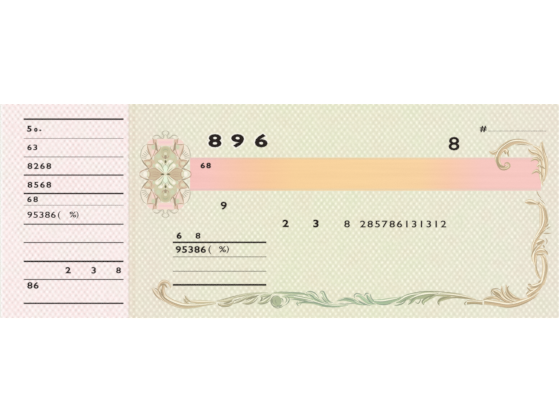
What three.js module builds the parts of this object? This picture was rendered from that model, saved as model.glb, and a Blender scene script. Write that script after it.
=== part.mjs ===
// A receipt book: fifty perforated leaves glue-bound at the left edge on a chipboard back,
// with a cloth spine tape and a card cover that is folded right round beneath the book.
// Millimetres. +X runs along the leaves away from the spine, +Y towards their top edge, +Z up.
// The origin is the middle of the whole book, on the surface that it lies on.

import * as THREE from "three";

// The leaves
const LEAF_COUNT = 50;
const LEAF_LENGTH = 229;
const LEAF_WIDTH = 88;
const PAPER_THICKNESS = 0.09;
const LEAF_AIR = 0.01;

// The perforated line between the stub, which stays in the book, and the receipt
const STUB_LENGTH = 52.5;
const PERFORATION_WIDTH = 0.6;
const CUT_LENGTH = 2.0;
const CUT_WIDTH = 0.16;
const TIE_LENGTH = 1.2;
const PERFORATION_AIR = 0.02;

// The binding
const BOARD_THICKNESS = 0.9;
const GLUE_THICKNESS = 0.4;
const TAPE_THICKNESS = 0.22;
const TAPE_BACK_FLAP = 10;
const BINDING_AIR = 0.02;

// The cover: a narrow hinge strip and a panel, scored apart
const CARD_THICKNESS = 0.35;
const COVER_AIR = 0.3;
const CLOSED_AIR = 0.3;
const SCORE_WIDTH = 0.3;
const FLAP_EDGE_AIR = 0.4;

// Heights of the layers, from the surface that the book lies on
const leafPitch = PAPER_THICKNESS + LEAF_AIR;
const tapeBottom = CARD_THICKNESS + COVER_AIR;
const boardBottom = tapeBottom + TAPE_THICKNESS + BINDING_AIR;
const boardTop = boardBottom + BOARD_THICKNESS;
const blockTop = boardTop + LEAF_COUNT * leafPitch;

// The cover's hinge line is level with the top leaf. Its distances from the hinge line when the
// cover is closed are heights above that line, and at rest they are distances towards the spine.
const stripInner = CLOSED_AIR;
const stripOuter = stripInner + CARD_THICKNESS;
const flapInner = stripOuter + BINDING_AIR;
const flapOuter = flapInner + TAPE_THICKNESS;
const stripWidth = blockTop - CARD_THICKNESS;

// Places along X, measured from the cover's hinge line and then centred on the whole book
const tapeOuterX = flapOuter + COVER_AIR;
const tapeInnerX = tapeOuterX + TAPE_THICKNESS;
const glueOuterX = tapeInnerX + BINDING_AIR;
const glueInnerX = glueOuterX + GLUE_THICKNESS;
const leafLeftX = glueInnerX + BINDING_AIR;
const leafRightX = leafLeftX + LEAF_LENGTH;
const hingeX = -(stripInner + leafRightX) / 2;
const bookLeft = hingeX + leafLeftX;

const PAPER = new THREE.MeshStandardMaterial({ color: 0xf1ead9, roughness: 0.92 });
const STUB_PAPER = new THREE.MeshStandardMaterial({ color: 0xf6ebe9, roughness: 0.92 });
const RECEIPT_PAPER = new THREE.MeshStandardMaterial({ color: 0xe9e6d2, roughness: 0.92 });
const CHIPBOARD = new THREE.MeshStandardMaterial({ color: 0x9c927f, roughness: 0.95 });
const DRIED_GLUE = new THREE.MeshStandardMaterial({ color: 0xe6e0cf, roughness: 0.45 });
const CLOTH_TAPE = new THREE.MeshStandardMaterial({ color: 0x3f5a4c, roughness: 0.8 });
const COVER_CARD = new THREE.MeshStandardMaterial({ color: 0xc9b48c, roughness: 0.85 });

// A flat sheet as wide as the leaves, between two places along X and two heights.
function sheet(name, material, fromX, toX, fromZ, toZ) {
  const mesh = new THREE.Mesh(
    new THREE.BoxGeometry(toX - fromX, LEAF_WIDTH, toZ - fromZ),
    material,
  );
  mesh.name = name;
  mesh.position.set((fromX + toX) / 2, 0, (fromZ + toZ) / 2);
  return mesh;
}

// The rectangle of a sheet that starts at X 0 and lies across the book.
function sheetOutline(length) {
  const outline = new THREE.Shape();
  outline.moveTo(0, -LEAF_WIDTH / 2);
  outline.lineTo(length, -LEAF_WIDTH / 2);
  outline.lineTo(length, LEAF_WIDTH / 2);
  outline.lineTo(0, LEAF_WIDTH / 2);
  outline.closePath();
  return outline;
}

// The perforating rule's row of cuts, centred across the book, at one place along X.
function perforationCuts(middleX) {
  const pitch = CUT_LENGTH + TIE_LENGTH;
  const count = Math.floor((LEAF_WIDTH - TIE_LENGTH) / pitch);
  const cuts = [];
  for (let i = 0; i < count; i++) {
    const middleY = (i - (count - 1) / 2) * pitch;
    const cut = new THREE.Path();
    cut.moveTo(middleX - CUT_WIDTH / 2, middleY - CUT_LENGTH / 2);
    cut.lineTo(middleX - CUT_WIDTH / 2, middleY + CUT_LENGTH / 2);
    cut.lineTo(middleX + CUT_WIDTH / 2, middleY + CUT_LENGTH / 2);
    cut.lineTo(middleX + CUT_WIDTH / 2, middleY - CUT_LENGTH / 2);
    cut.closePath();
    cuts.push(cut);
  }
  return cuts;
}

// A sheet of leaf paper with the row of cuts through it.
function perforatedSheet(name, material, fromX, length, cutX, bottomZ) {
  const outline = sheetOutline(length);
  outline.holes.push(...perforationCuts(cutX));
  const geometry = new THREE.ExtrudeGeometry(outline, {
    depth: PAPER_THICKNESS,
    bevelEnabled: false,
  });
  const mesh = new THREE.Mesh(geometry, material);
  mesh.name = name;
  mesh.position.set(fromX, 0, bottomZ);
  return mesh;
}

function leafBottom(number) {
  return blockTop - PAPER_THICKNESS - (number - 1) * leafPitch;
}

// The top leaf is three pieces in one plane: the stub, the perforated line and the receipt.
function firstLeaf() {
  const bottom = leafBottom(1);
  const top = bottom + PAPER_THICKNESS;
  const stubRight = bookLeft + STUB_LENGTH - PERFORATION_WIDTH / 2;
  const lineLeft = stubRight + PERFORATION_AIR;
  const lineLength = PERFORATION_WIDTH - 2 * PERFORATION_AIR;
  const receiptLeft = stubRight + PERFORATION_WIDTH;
  const receiptRight = bookLeft + LEAF_LENGTH;
  const leaf = new THREE.Group();
  leaf.add(sheet("stub_01", STUB_PAPER, bookLeft, stubRight, bottom, top));
  leaf.add(
    perforatedSheet("perforation_01", PAPER, lineLeft, lineLength, lineLength / 2, bottom),
  );
  leaf.add(sheet("receipt_01", RECEIPT_PAPER, receiptLeft, receiptRight, bottom, top));
  return leaf;
}

// The leaves below the first one. The second, which shows once the first receipt is torn off,
// has its row of cuts, and the deeper ones are plain sheets.
function lowerLeaves() {
  const leaves = new THREE.Group();
  leaves.add(
    perforatedSheet("leaf_02", PAPER, bookLeft, LEAF_LENGTH, STUB_LENGTH, leafBottom(2)),
  );
  for (let number = 3; number <= LEAF_COUNT; number++) {
    const bottom = leafBottom(number);
    const name = `leaf_${String(number).padStart(2, "0")}`;
    const right = bookLeft + LEAF_LENGTH;
    leaves.add(sheet(name, PAPER, bookLeft, right, bottom, bottom + PAPER_THICKNESS));
  }
  return leaves;
}

// The cloth tape over the spine: one strip that turns under the back board.
function spineTape() {
  const outerX = hingeX + tapeOuterX;
  const innerX = hingeX + tapeInnerX;
  const flapRight = hingeX + tapeInnerX + TAPE_BACK_FLAP;
  const flapTop = tapeBottom + TAPE_THICKNESS;
  const section = new THREE.Shape();
  section.moveTo(outerX, tapeBottom);
  section.lineTo(flapRight, tapeBottom);
  section.lineTo(flapRight, flapTop);
  section.lineTo(innerX, flapTop);
  section.lineTo(innerX, blockTop - PAPER_THICKNESS);
  section.lineTo(outerX, blockTop - PAPER_THICKNESS);
  section.closePath();
  const geometry = new THREE.ExtrudeGeometry(section, {
    depth: LEAF_WIDTH,
    bevelEnabled: false,
  });
  const mesh = new THREE.Mesh(geometry, CLOTH_TAPE);
  mesh.name = "spine_tape";
  mesh.rotation.x = Math.PI / 2;
  mesh.position.y = LEAF_WIDTH / 2;
  return mesh;
}

function binding() {
  const glueTop = blockTop - PAPER_THICKNESS;
  const glueLeft = hingeX + glueOuterX;
  const glueRight = hingeX + glueInnerX;
  const boardRight = bookLeft + LEAF_LENGTH;
  const parts = new THREE.Group();
  parts.add(
    sheet("back_board", CHIPBOARD, glueRight + BINDING_AIR, boardRight, boardBottom, boardTop),
  );
  parts.add(sheet("spine_glue", DRIED_GLUE, glueLeft, glueRight, boardBottom, glueTop));
  parts.add(spineTape());
  return parts;
}

// The cover at rest: its strip hangs down outside the spine and its panel lies under the book.
// The two meet at the score, level with the panel's upper face.
function foldedCover() {
  const scoreZ = blockTop - stripWidth;
  const stripBottom = scoreZ + BINDING_AIR;
  const flapBottom = scoreZ + FLAP_EDGE_AIR;
  const panelLeft = hingeX + stripOuter + SCORE_WIDTH;
  const panelLength = leafRightX - stripWidth - SCORE_WIDTH;
  const panelTop = scoreZ;
  const panelBottom = scoreZ - CARD_THICKNESS;
  const stripTop = blockTop - PAPER_THICKNESS;
  const cover = new THREE.Group();
  cover.add(
    sheet(
      "cover_hinge_strip",
      COVER_CARD,
      hingeX + stripInner,
      hingeX + stripOuter,
      stripBottom,
      stripTop,
    ),
  );
  cover.add(
    sheet(
      "cover_tape_flap",
      CLOTH_TAPE,
      hingeX + flapInner,
      hingeX + flapOuter,
      flapBottom,
      stripTop,
    ),
  );
  cover.add(
    sheet("front_cover", COVER_CARD, panelLeft, panelLeft + panelLength, panelBottom, panelTop),
  );
  return cover;
}

const receiptBook = new THREE.Group();
receiptBook.add(firstLeaf());
receiptBook.add(lowerLeaves());
receiptBook.add(binding());
receiptBook.add(foldedCover());

export default receiptBook;
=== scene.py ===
"""The receipt book's looks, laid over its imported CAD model.

The printed face of a leaf is drawn in page millimetres: u runs from the leaf's left edge to the
right, and v from its top edge down. Every ink is a thin closed slab just above the paper, so the
first leaf and the leaf below it carry the same print. The paper's tint is in its material.
"""

import logging
import math
import random
from dataclasses import dataclass, field, replace
from enum import Enum
from functools import cached_property
from typing import Callable, Optional, Sequence, Union

import bmesh
import bpy
from mathutils import Matrix, Vector


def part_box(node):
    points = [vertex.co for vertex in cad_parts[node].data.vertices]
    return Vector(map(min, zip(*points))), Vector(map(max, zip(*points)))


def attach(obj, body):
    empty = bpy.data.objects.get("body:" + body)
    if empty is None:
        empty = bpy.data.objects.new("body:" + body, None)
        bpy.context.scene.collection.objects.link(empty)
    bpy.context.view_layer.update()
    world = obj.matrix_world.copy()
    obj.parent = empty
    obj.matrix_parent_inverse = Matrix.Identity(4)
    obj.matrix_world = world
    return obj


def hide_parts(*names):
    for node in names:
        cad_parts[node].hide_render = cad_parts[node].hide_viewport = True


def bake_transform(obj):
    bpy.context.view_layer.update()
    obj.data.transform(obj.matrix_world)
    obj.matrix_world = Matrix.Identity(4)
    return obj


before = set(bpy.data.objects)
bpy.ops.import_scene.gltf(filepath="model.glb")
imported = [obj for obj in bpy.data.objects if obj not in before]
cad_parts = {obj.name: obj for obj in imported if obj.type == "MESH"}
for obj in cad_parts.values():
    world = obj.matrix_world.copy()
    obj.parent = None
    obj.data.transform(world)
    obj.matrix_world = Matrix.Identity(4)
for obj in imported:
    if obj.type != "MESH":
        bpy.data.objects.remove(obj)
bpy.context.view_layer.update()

LOG = logging.getLogger("receipt_book")
MM = 0.001

# How many pieces an arc is cut into.
ARC_STEPS = 8

Point = tuple[float, float]
Stop = tuple[float, str]
Placer = Callable[[Point], Point]
Value = Union[float, tuple, bpy.types.Node, bpy.types.NodeSocket]

# The colour mixer's sockets: its factor, and the colours at a factor of 0 and of 1.
FACTOR, UNDER, OVER = 0, 6, 7

# The leaf's corners in metres, its page in millimetres, and where the perforation divides it.
LEAF_LOW, LEAF_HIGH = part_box("leaf_02")
LEAF_LENGTH = (LEAF_HIGH.x - LEAF_LOW.x) / MM
LEAF_WIDTH = (LEAF_HIGH.y - LEAF_LOW.y) / MM
PERFORATION = sum(corner.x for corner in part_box("perforation_01")) / 2


def linear(colour: str) -> tuple[float, float, float, float]:
    """Turns an sRGB hex colour into the linear RGBA that the nodes take.

    Args:
        colour: six hex digits, without a hash sign.

    Returns:
        Red, green, blue and an alpha of 1.
    """
    channels = []
    for start in (0, 2, 4):
        value = int(colour[start : start + 2], 16) / 255
        low = value / 12.92
        high = ((value + 0.055) / 1.055) ** 2.4
        channels.append(low if value <= 0.04045 else high)
    return (channels[0], channels[1], channels[2], 1.0)


def fountain(places: Sequence[float], colours: str) -> tuple[Stop, ...]:
    """Runs colours along the leaf, as a press with a divided ink fountain does.

    Args:
        places: where each colour is pure, in page millimetres.
        colours: their sRGB hex values, with a space between them.

    Returns:
        A colour ramp's stops, each with its share of the leaf's length.
    """
    return tuple((place / LEAF_LENGTH, colour) for place, colour in zip(places, colours.split()))


class Graph:
    """A material's node tree, its shader, and the node that gives its relief, if it has one."""

    def __init__(self, name: str, shader: str = "BsdfPrincipled") -> None:
        """Starts a material.

        Args:
            name: the material's name.
            shader: the kind of its shader node.
        """
        self.material = bpy.data.materials.new(name)
        self.material.use_nodes = True
        self.tree = self.material.node_tree
        self.tree.nodes.clear()
        self.relief: Optional[bpy.types.Node] = None
        self.shader = self.add(shader)
        self.add("OutputMaterial", {"Surface": self.shader})

    def add(
        self,
        kind: str,
        inputs: Optional[dict[Union[str, int], Value]] = None,
        stops: Sequence[Stop] = (),
        **settings: str,
    ) -> bpy.types.Node:
        """Adds one node.

        Args:
            kind: the node's type, without the ShaderNode before it.
            inputs: for each input, a constant or the node or socket that feeds it.
            stops: a colour ramp's places from 0 to 1, each with its sRGB hex colour.
            settings: the node's own properties.

        Returns:
            The new node.
        """
        node = self.tree.nodes.new(f"ShaderNode{kind}")
        for key, value in settings.items():
            setattr(node, key, value)
        if stops:
            elements = node.color_ramp.elements
            elements.remove(elements[-1])
            for place, _ in stops[1:]:
                elements.new(place)
            for element, (place, colour) in zip(elements, stops):
                element.position = place
                element.color = linear(colour)
        self.feed(node, inputs or {})
        return node

    def feed(self, node: bpy.types.Node, inputs: dict[Union[str, int], Value]) -> None:
        """Links or sets inputs of a node.

        Args:
            node: the node.
            inputs: for each input, a constant or what feeds it: a socket, or a node's first
                output that is in use.
        """
        for key, value in inputs.items():
            if isinstance(value, bpy.types.Node):
                value = next(socket for socket in value.outputs if socket.enabled)
            if isinstance(value, bpy.types.NodeSocket):
                self.tree.links.new(value, node.inputs[key])
            else:
                node.inputs[key].default_value = value

    @cached_property
    def places(self) -> bpy.types.NodeSocket:
        """The object's own coordinates, in metres."""
        return self.add("TexCoord").outputs["Object"]

    @cached_property
    def axes(self) -> bpy.types.NodeOutputs:
        """The object's own X, Y and Z, in metres."""
        return self.add("SeparateXYZ", {"Vector": self.places}).outputs


def along_leaf(graph: Graph, stops: Sequence[Stop]) -> bpy.types.Node:
    """Colours a material by the place along the leaf.

    Args:
        graph: the material.
        stops: shares of the leaf's length, each with its sRGB hex colour.

    Returns:
        The node that gives the colour.
    """
    span = {"Value": graph.axes["X"], "From Min": LEAF_LOW.x, "From Max": LEAF_HIGH.x}
    return graph.add("ValToRGB", {"Fac": graph.add("MapRange", span)}, stops)


@dataclass(frozen=True)
class Mottle:
    """Cloudy patches of a real size in a surface.

    Breadth is how broad they are in mm, detail how many finer octaves they have, and stops the
    colours from their low places to their high ones. Along is less than 1 where fibres or rollers
    draw them out along X.
    """

    breadth: float
    detail: float
    stops: tuple[Stop, ...] = ()
    along: float = 1.0

    def height(self, graph: Graph) -> bpy.types.Node:
        """Gives the patches as a number from 0 to 1.

        Args:
            graph: the material that they are in.

        Returns:
            The node that gives the number.
        """
        drawn = graph.add("Mapping", {"Vector": graph.places, "Scale": (self.along, 1.0, 1.0)})
        scale = 1 / (self.breadth * MM)
        return graph.add("TexNoise", {"Vector": drawn, "Scale": scale, "Detail": self.detail})

    def colour(self, graph: Graph) -> bpy.types.Node:
        """Gives the patches in their colours."""
        return graph.add("ValToRGB", {"Fac": self.height(graph)}, self.stops)


@dataclass(frozen=True)
class Finish:
    """One material: its surface constants, its layers of colour, and its relief.

    The relief is a mottle with the depth of its bumps in mm.
    """

    name: str
    roughness: float
    specular: float = 0.3
    sheen: float = 0.0
    mottles: tuple[Mottle, ...] = ()
    relief: Optional[Mottle] = None
    depth: float = 0.0

    def layers(self, graph: Graph) -> list[bpy.types.Node]:
        """Gives the colours that are laid over one another."""
        return [mottle.colour(graph) for mottle in self.mottles]

    def colour(self, graph: Graph) -> bpy.types.Node:
        """Multiplies the layers together.

        Args:
            graph: the material that they are in.

        Returns:
            The node that gives their colour.
        """
        ground, *others = self.layers(graph)
        for layer in others:
            inputs = {FACTOR: 1.0, UNDER: ground, OVER: layer}
            ground = graph.add("Mix", inputs, data_type="RGBA", blend_type="MULTIPLY")
        return ground

    def height(self, graph: Graph) -> Optional[bpy.types.Node]:
        """Gives the relief as a number from 0 to 1, if there is any."""
        return self.relief.height(graph) if self.relief else None

    def material(self) -> bpy.types.Material:
        """Builds the material.

        Returns:
            The material.
        """
        graph = Graph(self.name)
        graph.relief = self.height(graph)
        surface = {
            "Base Color": self.colour(graph),
            "Roughness": self.roughness,
            "Specular IOR Level": self.specular,
            "Sheen Weight": self.sheen,
        }
        if graph.relief is not None:
            bumps = {"Height": graph.relief, "Distance": self.depth * MM}
            surface["Normal"] = graph.add("Bump", bumps)
        graph.feed(graph.shader, surface)
        return graph.material


@dataclass(frozen=True)
class Dot:
    """One kind of dot in the tint's lattice, and its colours on the receipt and on the stub."""

    sign: float
    sharpness: float
    strength: float
    on_receipt: str
    on_stub: str


@dataclass(frozen=True)
class LeafPaper(Finish):
    """Uncoated form paper with a security tint printed on its upper face: a pink one on the stub
    and a green and cream one on the receipt. The eye gets a staggered lattice of pale and grey
    dots over soft colour, and plain off-white paper on the back and at the cut edges.

    The tint's places are in page millimetres: a bare margin, the stub, the perforation and a faint
    line beside it, and the receipt. The lattice has a pitch along its rows and one between them.
    """

    face: float = 0.0
    roughness: float = 0.9
    specular: float = 0.15
    tint: tuple[Stop, ...] = fountain(
        (0.25, 1.0, 51.95, 52.1, 52.5, 52.7, 54.1, 54.35, 54.8, 55.1, 59.5, 75.6, 119.1, 160.3,
         206.1, 217.6, 229.0),
        "FFFFFF FFF0F0 FFF0F0 FFF9EE FFF9EE F0E5D7 F1E7D6 E8DDCA E8DDCA F0E8D7 EEE6D7 EEEAD7 EDECD2"
        " EDECD3 EEEBD9 EFE8D8 EEE7D9",
    )
    mottles: tuple[Mottle, ...] = (
        Mottle(9.0, 1.0, ((0.3, "FFFBFB"), (0.5, "FFFFFF"), (0.7, "FBFFFB"))),
        Mottle(1.1, 3.0, ((0.3, "F3F4F2"), (0.7, "FFFFFF"))),
    )
    relief: Mottle = Mottle(0.35, 4.0)
    depth: float = 0.01
    dot_pitch: float = 2.37
    row_pitch: float = 1.51
    dots: tuple[Dot, ...] = (
        Dot(1.0, 1.3, 0.85, "FFFEEE", "FFFFFF"),
        Dot(-1.0, 1.8, 0.6, "D8D6C2", "D6C6C4"),
    )
    dot_patches: Mottle = Mottle(5.0, 2.0)
    patch_gain: float = 1.1
    patch_floor: float = 0.3
    pulp: Mottle = Mottle(0.5, 3.0, ((0.3, "F3EFE4"), (0.7, "FBF8F0")), 0.35)
    print_depth: float = 0.02

    def layers(self, graph: Graph) -> list[bpy.types.Node]:
        """Gives the tint along the leaf, and the clouds and the weave that are laid over it."""
        return [along_leaf(graph, self.tint), *super().layers(graph)]

    def lattice(self, graph: Graph) -> bpy.types.Node:
        """Gives the lattice, above 0 in its pale dots and below 0 in its grey ones.

        Args:
            graph: the paper's material.

        Returns:
            The node that gives the number.
        """
        patches = {0: self.dot_patches.height(graph), 1: self.patch_gain, 2: self.patch_floor}
        wave = graph.add("Math", patches, operation="MULTIPLY_ADD")
        turns = {"X": math.tau / (self.dot_pitch * MM), "Y": math.pi / (self.row_pitch * MM)}
        for axis, turn in turns.items():
            angle = graph.add("Math", {0: graph.axes[axis], 1: turn}, operation="MULTIPLY")
            ripple = graph.add("Math", {0: angle}, operation="COSINE")
            wave = graph.add("Math", {0: wave, 1: ripple}, operation="MULTIPLY")
        return wave

    def colour(self, graph: Graph) -> bpy.types.Node:
        """Gives the printed face its tint and dots, and the rest of the sheet its bare pulp.

        Args:
            graph: the paper's material.

        Returns:
            The node that gives the colour.
        """
        printed = super().colour(graph)
        wave = self.lattice(graph)
        on_stub = graph.add("Math", {0: graph.axes["X"], 1: PERFORATION}, operation="LESS_THAN")
        for dot in self.dots:
            side = graph.add("Math", {0: wave, 1: dot.sign}, operation="MULTIPLY")
            above = graph.add("Math", {0: side, 1: 0.0}, operation="MAXIMUM")
            sharp = graph.add("Math", {0: above, 1: dot.sharpness}, operation="POWER")
            share = graph.add("Math", {0: sharp, 1: dot.strength}, operation="MULTIPLY")
            inks = {FACTOR: on_stub, UNDER: linear(dot.on_receipt), OVER: linear(dot.on_stub)}
            ink = graph.add("Mix", inks, data_type="RGBA")
            dotted = {FACTOR: share, UNDER: printed, OVER: ink}
            printed = graph.add("Mix", dotted, data_type="RGBA")
        foot = self.face - self.print_depth * MM
        on_face = graph.add("Math", {0: graph.axes["Z"], 1: foot}, operation="GREATER_THAN")
        sheet = {FACTOR: on_face, UNDER: self.pulp.colour(graph), OVER: printed}
        return graph.add("Mix", sheet, data_type="RGBA")


@dataclass(frozen=True)
class BlockPaper(Finish):
    """The cut edges of the leaves below: each sheet's edge catches the eye as its own fine line."""

    name: str = "block_paper"
    roughness: float = 0.9
    specular: float = 0.15
    pitch: float = 0.1
    sheets: tuple[Stop, ...] = ((0.0, "E3DCCB"), (0.5, "F0EADC"), (1.0, "F8F4EA"))
    mottles: tuple[Mottle, ...] = (Mottle(6.0, 3.0, ((0.3, "F2EFE8"), (0.7, "FFFFFF"))),)

    def layers(self, graph: Graph) -> list[bpy.types.Node]:
        """Gives each sheet a shade of its own.

        Args:
            graph: the block's material.

        Returns:
            The nodes that give the colours.
        """
        count = graph.add("Math", {0: graph.axes["Z"], 1: self.pitch * MM}, operation="DIVIDE")
        sheet = graph.add("Math", {0: count}, operation="FLOOR")
        shade = graph.add("TexWhiteNoise", {"W": sheet}, noise_dimensions="1D").outputs["Value"]
        return [graph.add("ValToRGB", {"Fac": shade}, self.sheets), *super().layers(graph)]


@dataclass(frozen=True)
class Chipboard(Finish):
    """Grey-brown recycled board: the eye gets short dark and pale fibres on a dull ground."""

    name: str = "chipboard"
    roughness: float = 0.95
    specular: float = 0.1
    mottles: tuple[Mottle, ...] = (
        Mottle(7.0, 4.0, ((0.3, "8F8675"), (0.7, "A69C88"))),
        Mottle(0.9, 5.0, ((0.34, "B5AC9C"), (0.5, "FFFFFF"), (0.68, "FFFFFF")), 0.3),
        Mottle(0.5, 1.0, ((0.66, "FFFFFF"), (0.72, "8D8478"))),
    )
    relief: Mottle = Mottle(0.6, 5.0)
    depth: float = 0.06


@dataclass(frozen=True)
class DriedGlue(Finish):
    """Padding compound, brushed on the spine: a cream, slightly rubbery skin with a soft shine."""

    name: str = "dried_glue"
    roughness: float = 0.45
    specular: float = 0.4
    mottles: tuple[Mottle, ...] = (Mottle(3.0, 3.0, ((0.3, "F8F5EC"), (0.7, "FFFEF9"))),)
    relief: Mottle = Mottle(1.4, 2.0)
    depth: float = 0.05


@dataclass(frozen=True)
class CoverCard(Finish):
    """Buff manila card: the eye gets warm tan pulp with faint long fibres and a hard, dry face."""

    name: str = "cover_card"
    roughness: float = 0.85
    specular: float = 0.2
    mottles: tuple[Mottle, ...] = (
        Mottle(12.0, 3.0, ((0.3, "C6B088"), (0.7, "CFBB95"))),
        Mottle(0.7, 5.0, ((0.35, "EFE9DD"), (0.6, "FFFFFF")), 0.2),
        Mottle(0.35, 1.0, ((0.68, "FFFFFF"), (0.74, "A8977A"))),
    )
    relief: Mottle = Mottle(0.5, 5.0)
    depth: float = 0.03


@dataclass(frozen=True)
class ClothTape(Finish):
    """Binding cloth tape: the eye gets a fine plain weave of dark green threads, a little worn,
    with painted shade in the weave's dips and painted highlight on its crests.
    """

    name: str = "cloth_tape"
    roughness: float = 0.8
    specular: float = 0.2
    sheen: float = 0.1
    thread: float = 0.42
    # Thread colours from the weave's dips to its crests: painted shade low, painted highlight high.
    threads: tuple[Stop, ...] = ((0.0, "33493D"), (0.5, "3F5A4C"), (1.0, "4E6B5C"))
    mottles: tuple[Mottle, ...] = (Mottle(5.0, 4.0, ((0.35, "DADFDA"), (0.65, "FFFFFF"))),)
    depth: float = 0.05

    def height(self, graph: Graph) -> bpy.types.Node:
        """Weaves the threads, across the book and along its X and Z, as a number from 0 to 1.

        Args:
            graph: the tape's material.

        Returns:
            The node that gives the number.
        """
        turn = math.tau / (self.thread * MM)
        along = graph.add("Math", {0: graph.axes["X"], 1: graph.axes["Z"]}, operation="ADD")
        waves = []
        for place in (graph.axes["Y"], along):
            angle = graph.add("Math", {0: place, 1: turn}, operation="MULTIPLY")
            waves.append(graph.add("Math", {0: angle}, operation="SINE"))
        weave = graph.add("Math", dict(enumerate(waves)), operation="MULTIPLY")
        return graph.add("Math", {0: weave, 1: 0.5, 2: 0.5}, operation="MULTIPLY_ADD")

    def layers(self, graph: Graph) -> list[bpy.types.Node]:
        """Colours the threads darker in the weave's dips and lighter on its crests, as painted
        shade and painted highlight, and wears them in places.
        """
        return [graph.add("ValToRGB", {"Fac": graph.relief}, self.threads), *super().layers(graph)]


@dataclass(frozen=True)
class Ink(Finish):
    """Offset ink that has sunk into the paper: the eye gets a flat colour, or one that changes
    along the leaf, with faint streaks from the rollers and a little of the paper's grain in it."""

    roughness: float = 0.8
    specular: float = 0.2
    stops: tuple[Stop, ...] = ()
    mottles: tuple[Mottle, ...] = (Mottle(1.2, 2.0, ((0.3, "FAF9F8"), (0.7, "FFFFFF")), 0.03),)
    paper: Mottle = Mottle(0.4, 3.0)
    grain: float = 0.0

    def layers(self, graph: Graph) -> list[bpy.types.Node]:
        """Gives the ink's colour along the leaf, and the streaks that are laid over it."""
        return [along_leaf(graph, self.stops), *super().layers(graph)]

    def colour(self, graph: Graph) -> bpy.types.Node:
        """Lets a little of the paper through the ink.

        Args:
            graph: the ink's material.

        Returns:
            The node that gives the colour.
        """
        paper = {0: self.paper.height(graph), 1: self.grain}
        share = graph.add("Math", paper, operation="MULTIPLY")
        inks = {FACTOR: share, UNDER: super().colour(graph), OVER: linear("FFFFFF")}
        return graph.add("Mix", inks, data_type="RGBA")


@dataclass(frozen=True)
class Page:
    """One leaf: its number, its nodes, and the bodies that its two halves ride on.

    An ink step is how far one ink's surface is above the next one's, in metres.
    """

    number: int
    nodes: tuple[str, ...]
    stub_body: str
    receipt_body: str
    step: float = 0.003 * MM

    @property
    def face(self) -> float:
        """The height of its printed face, in metres."""
        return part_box(self.nodes[-1])[1].z

    def place(self, point: Point) -> Point:
        """Turns a page place in mm into X and Y in metres."""
        return LEAF_LOW.x + point[0] * MM, LEAF_HIGH.y - point[1] * MM

    def name(self, what: str) -> str:
        """Names something that is printed on it."""
        return f"leaf_{self.number:02d}_{what}"


class Tips(Enum):
    """Which ends of a pen stroke run out to a point."""

    BOTH = "both"
    START = "start"
    END = "end"
    NONE = "none"


class Weight(Enum):
    """How far a figure's outline is thickened, in shares of its size."""

    LIGHT = 0.004
    MEDIUM = 0.016
    REGULAR = 0.03
    BOLD = 0.04
    HEAVY = 0.075
    HALO = 0.095


@dataclass(frozen=True)
class Stroke:
    """A pen stroke through page places, with its widest width in mm."""

    points: tuple[Point, ...]
    width: float
    tips: Tips = Tips.BOTH


def pen(width: float, *points: Point, tips: Tips = Tips.BOTH) -> Stroke:
    """Makes a stroke from its width and the places that it runs through."""
    return Stroke(points, width, tips)


@dataclass(frozen=True)
class Label:
    """A row of figures spread evenly over a box, given in page millimetres."""

    text: str
    left: float
    top: float
    right: float
    bottom: float
    weight: Weight = Weight.REGULAR
    widen: float = 1.25


@dataclass(frozen=True)
class Rule:
    """A printed line across the page: its ends, how far down its middle is, and its weight."""

    start: float
    end: float
    middle: float
    weight: float


def smooth(points: Sequence[Point], closed: bool = False, spans: int = 6) -> list[Point]:
    """Runs a Catmull-Rom curve through points.

    Args:
        points: the places that it passes.
        closed: whether it comes back to its start.
        spans: how many pieces each span is cut into.

    Returns:
        The places along the curve.
    """
    count = len(points)
    if count < 3 and not closed:
        return list(points)
    curve = []
    for i in range(count if closed else count - 1):
        before, start, end, after = (
            Vector(points[(i + k) % count if closed else min(max(i + k, 0), count - 1)])
            for k in (-1, 0, 1, 2)
        )
        for step in range(spans):
            t = step / spans
            place = 0.5 * (
                2 * start
                + (end - before) * t
                + (2 * before - 5 * start + 4 * end - after) * t**2
                + (3 * start - before - 3 * end + after) * t**3
            )
            curve.append((place.x, place.y))
    if not closed:
        curve.append(tuple(points[-1]))
    return curve


def add_box(mesh: bmesh.types.BMesh, low: Vector, high: Vector) -> None:
    """Adds a box.

    Args:
        mesh: the mesh that it is added to.
        low: its lowest corner.
        high: its highest corner.
    """
    made = bmesh.ops.create_cube(mesh, size=1.0)["verts"]
    bmesh.ops.scale(mesh, vec=high - low, verts=made)
    bmesh.ops.translate(mesh, vec=(low + high) / 2, verts=made)


def add_strip(
    mesh: bmesh.types.BMesh, section: Sequence[tuple[Vector, Vector]], low_y: float, high_y: float
) -> None:
    """Adds a closed strip across the book: its section, extruded.

    Args:
        mesh: the mesh that it is added to.
        section: pairs of its inner and outer places, in X and Z.
        low_y: its edge at the leaves' foot.
        high_y: its edge at the leaves' top.
    """
    pairs = [[mesh.verts.new((place.x, low_y, place.y)) for place in pair] for pair in section]
    for (inner, outer), (next_inner, next_outer) in zip(pairs, pairs[1:]):
        mesh.faces.new((inner, outer, next_outer, next_inner))
    grown = bmesh.ops.extrude_face_region(mesh, geom=list(mesh.faces), use_keep_orig=True)
    moved = [part for part in grown["geom"] if isinstance(part, bmesh.types.BMVert)]
    bmesh.ops.translate(mesh, vec=(0.0, high_y - low_y, 0.0), verts=moved)
    bmesh.ops.recalc_face_normals(mesh, faces=mesh.faces)


def make_piece(
    mesh: bmesh.types.BMesh, name: str, material: bpy.types.Material, body: Optional[str] = None
) -> bpy.types.Object:
    """Makes a finished mesh an object at the origin.

    Args:
        mesh: the mesh, which is used up.
        name: the piece's name.
        material: its finish.
        body: the body that it rides on, if it is only one.

    Returns:
        The piece.
    """
    data = bpy.data.meshes.new(name)
    mesh.to_mesh(data)
    mesh.free()
    data.materials.append(material)
    piece = bpy.data.objects.new(name, data)
    bpy.context.scene.collection.objects.link(piece)
    if body is not None:
        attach(piece, body)
    return piece


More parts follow.
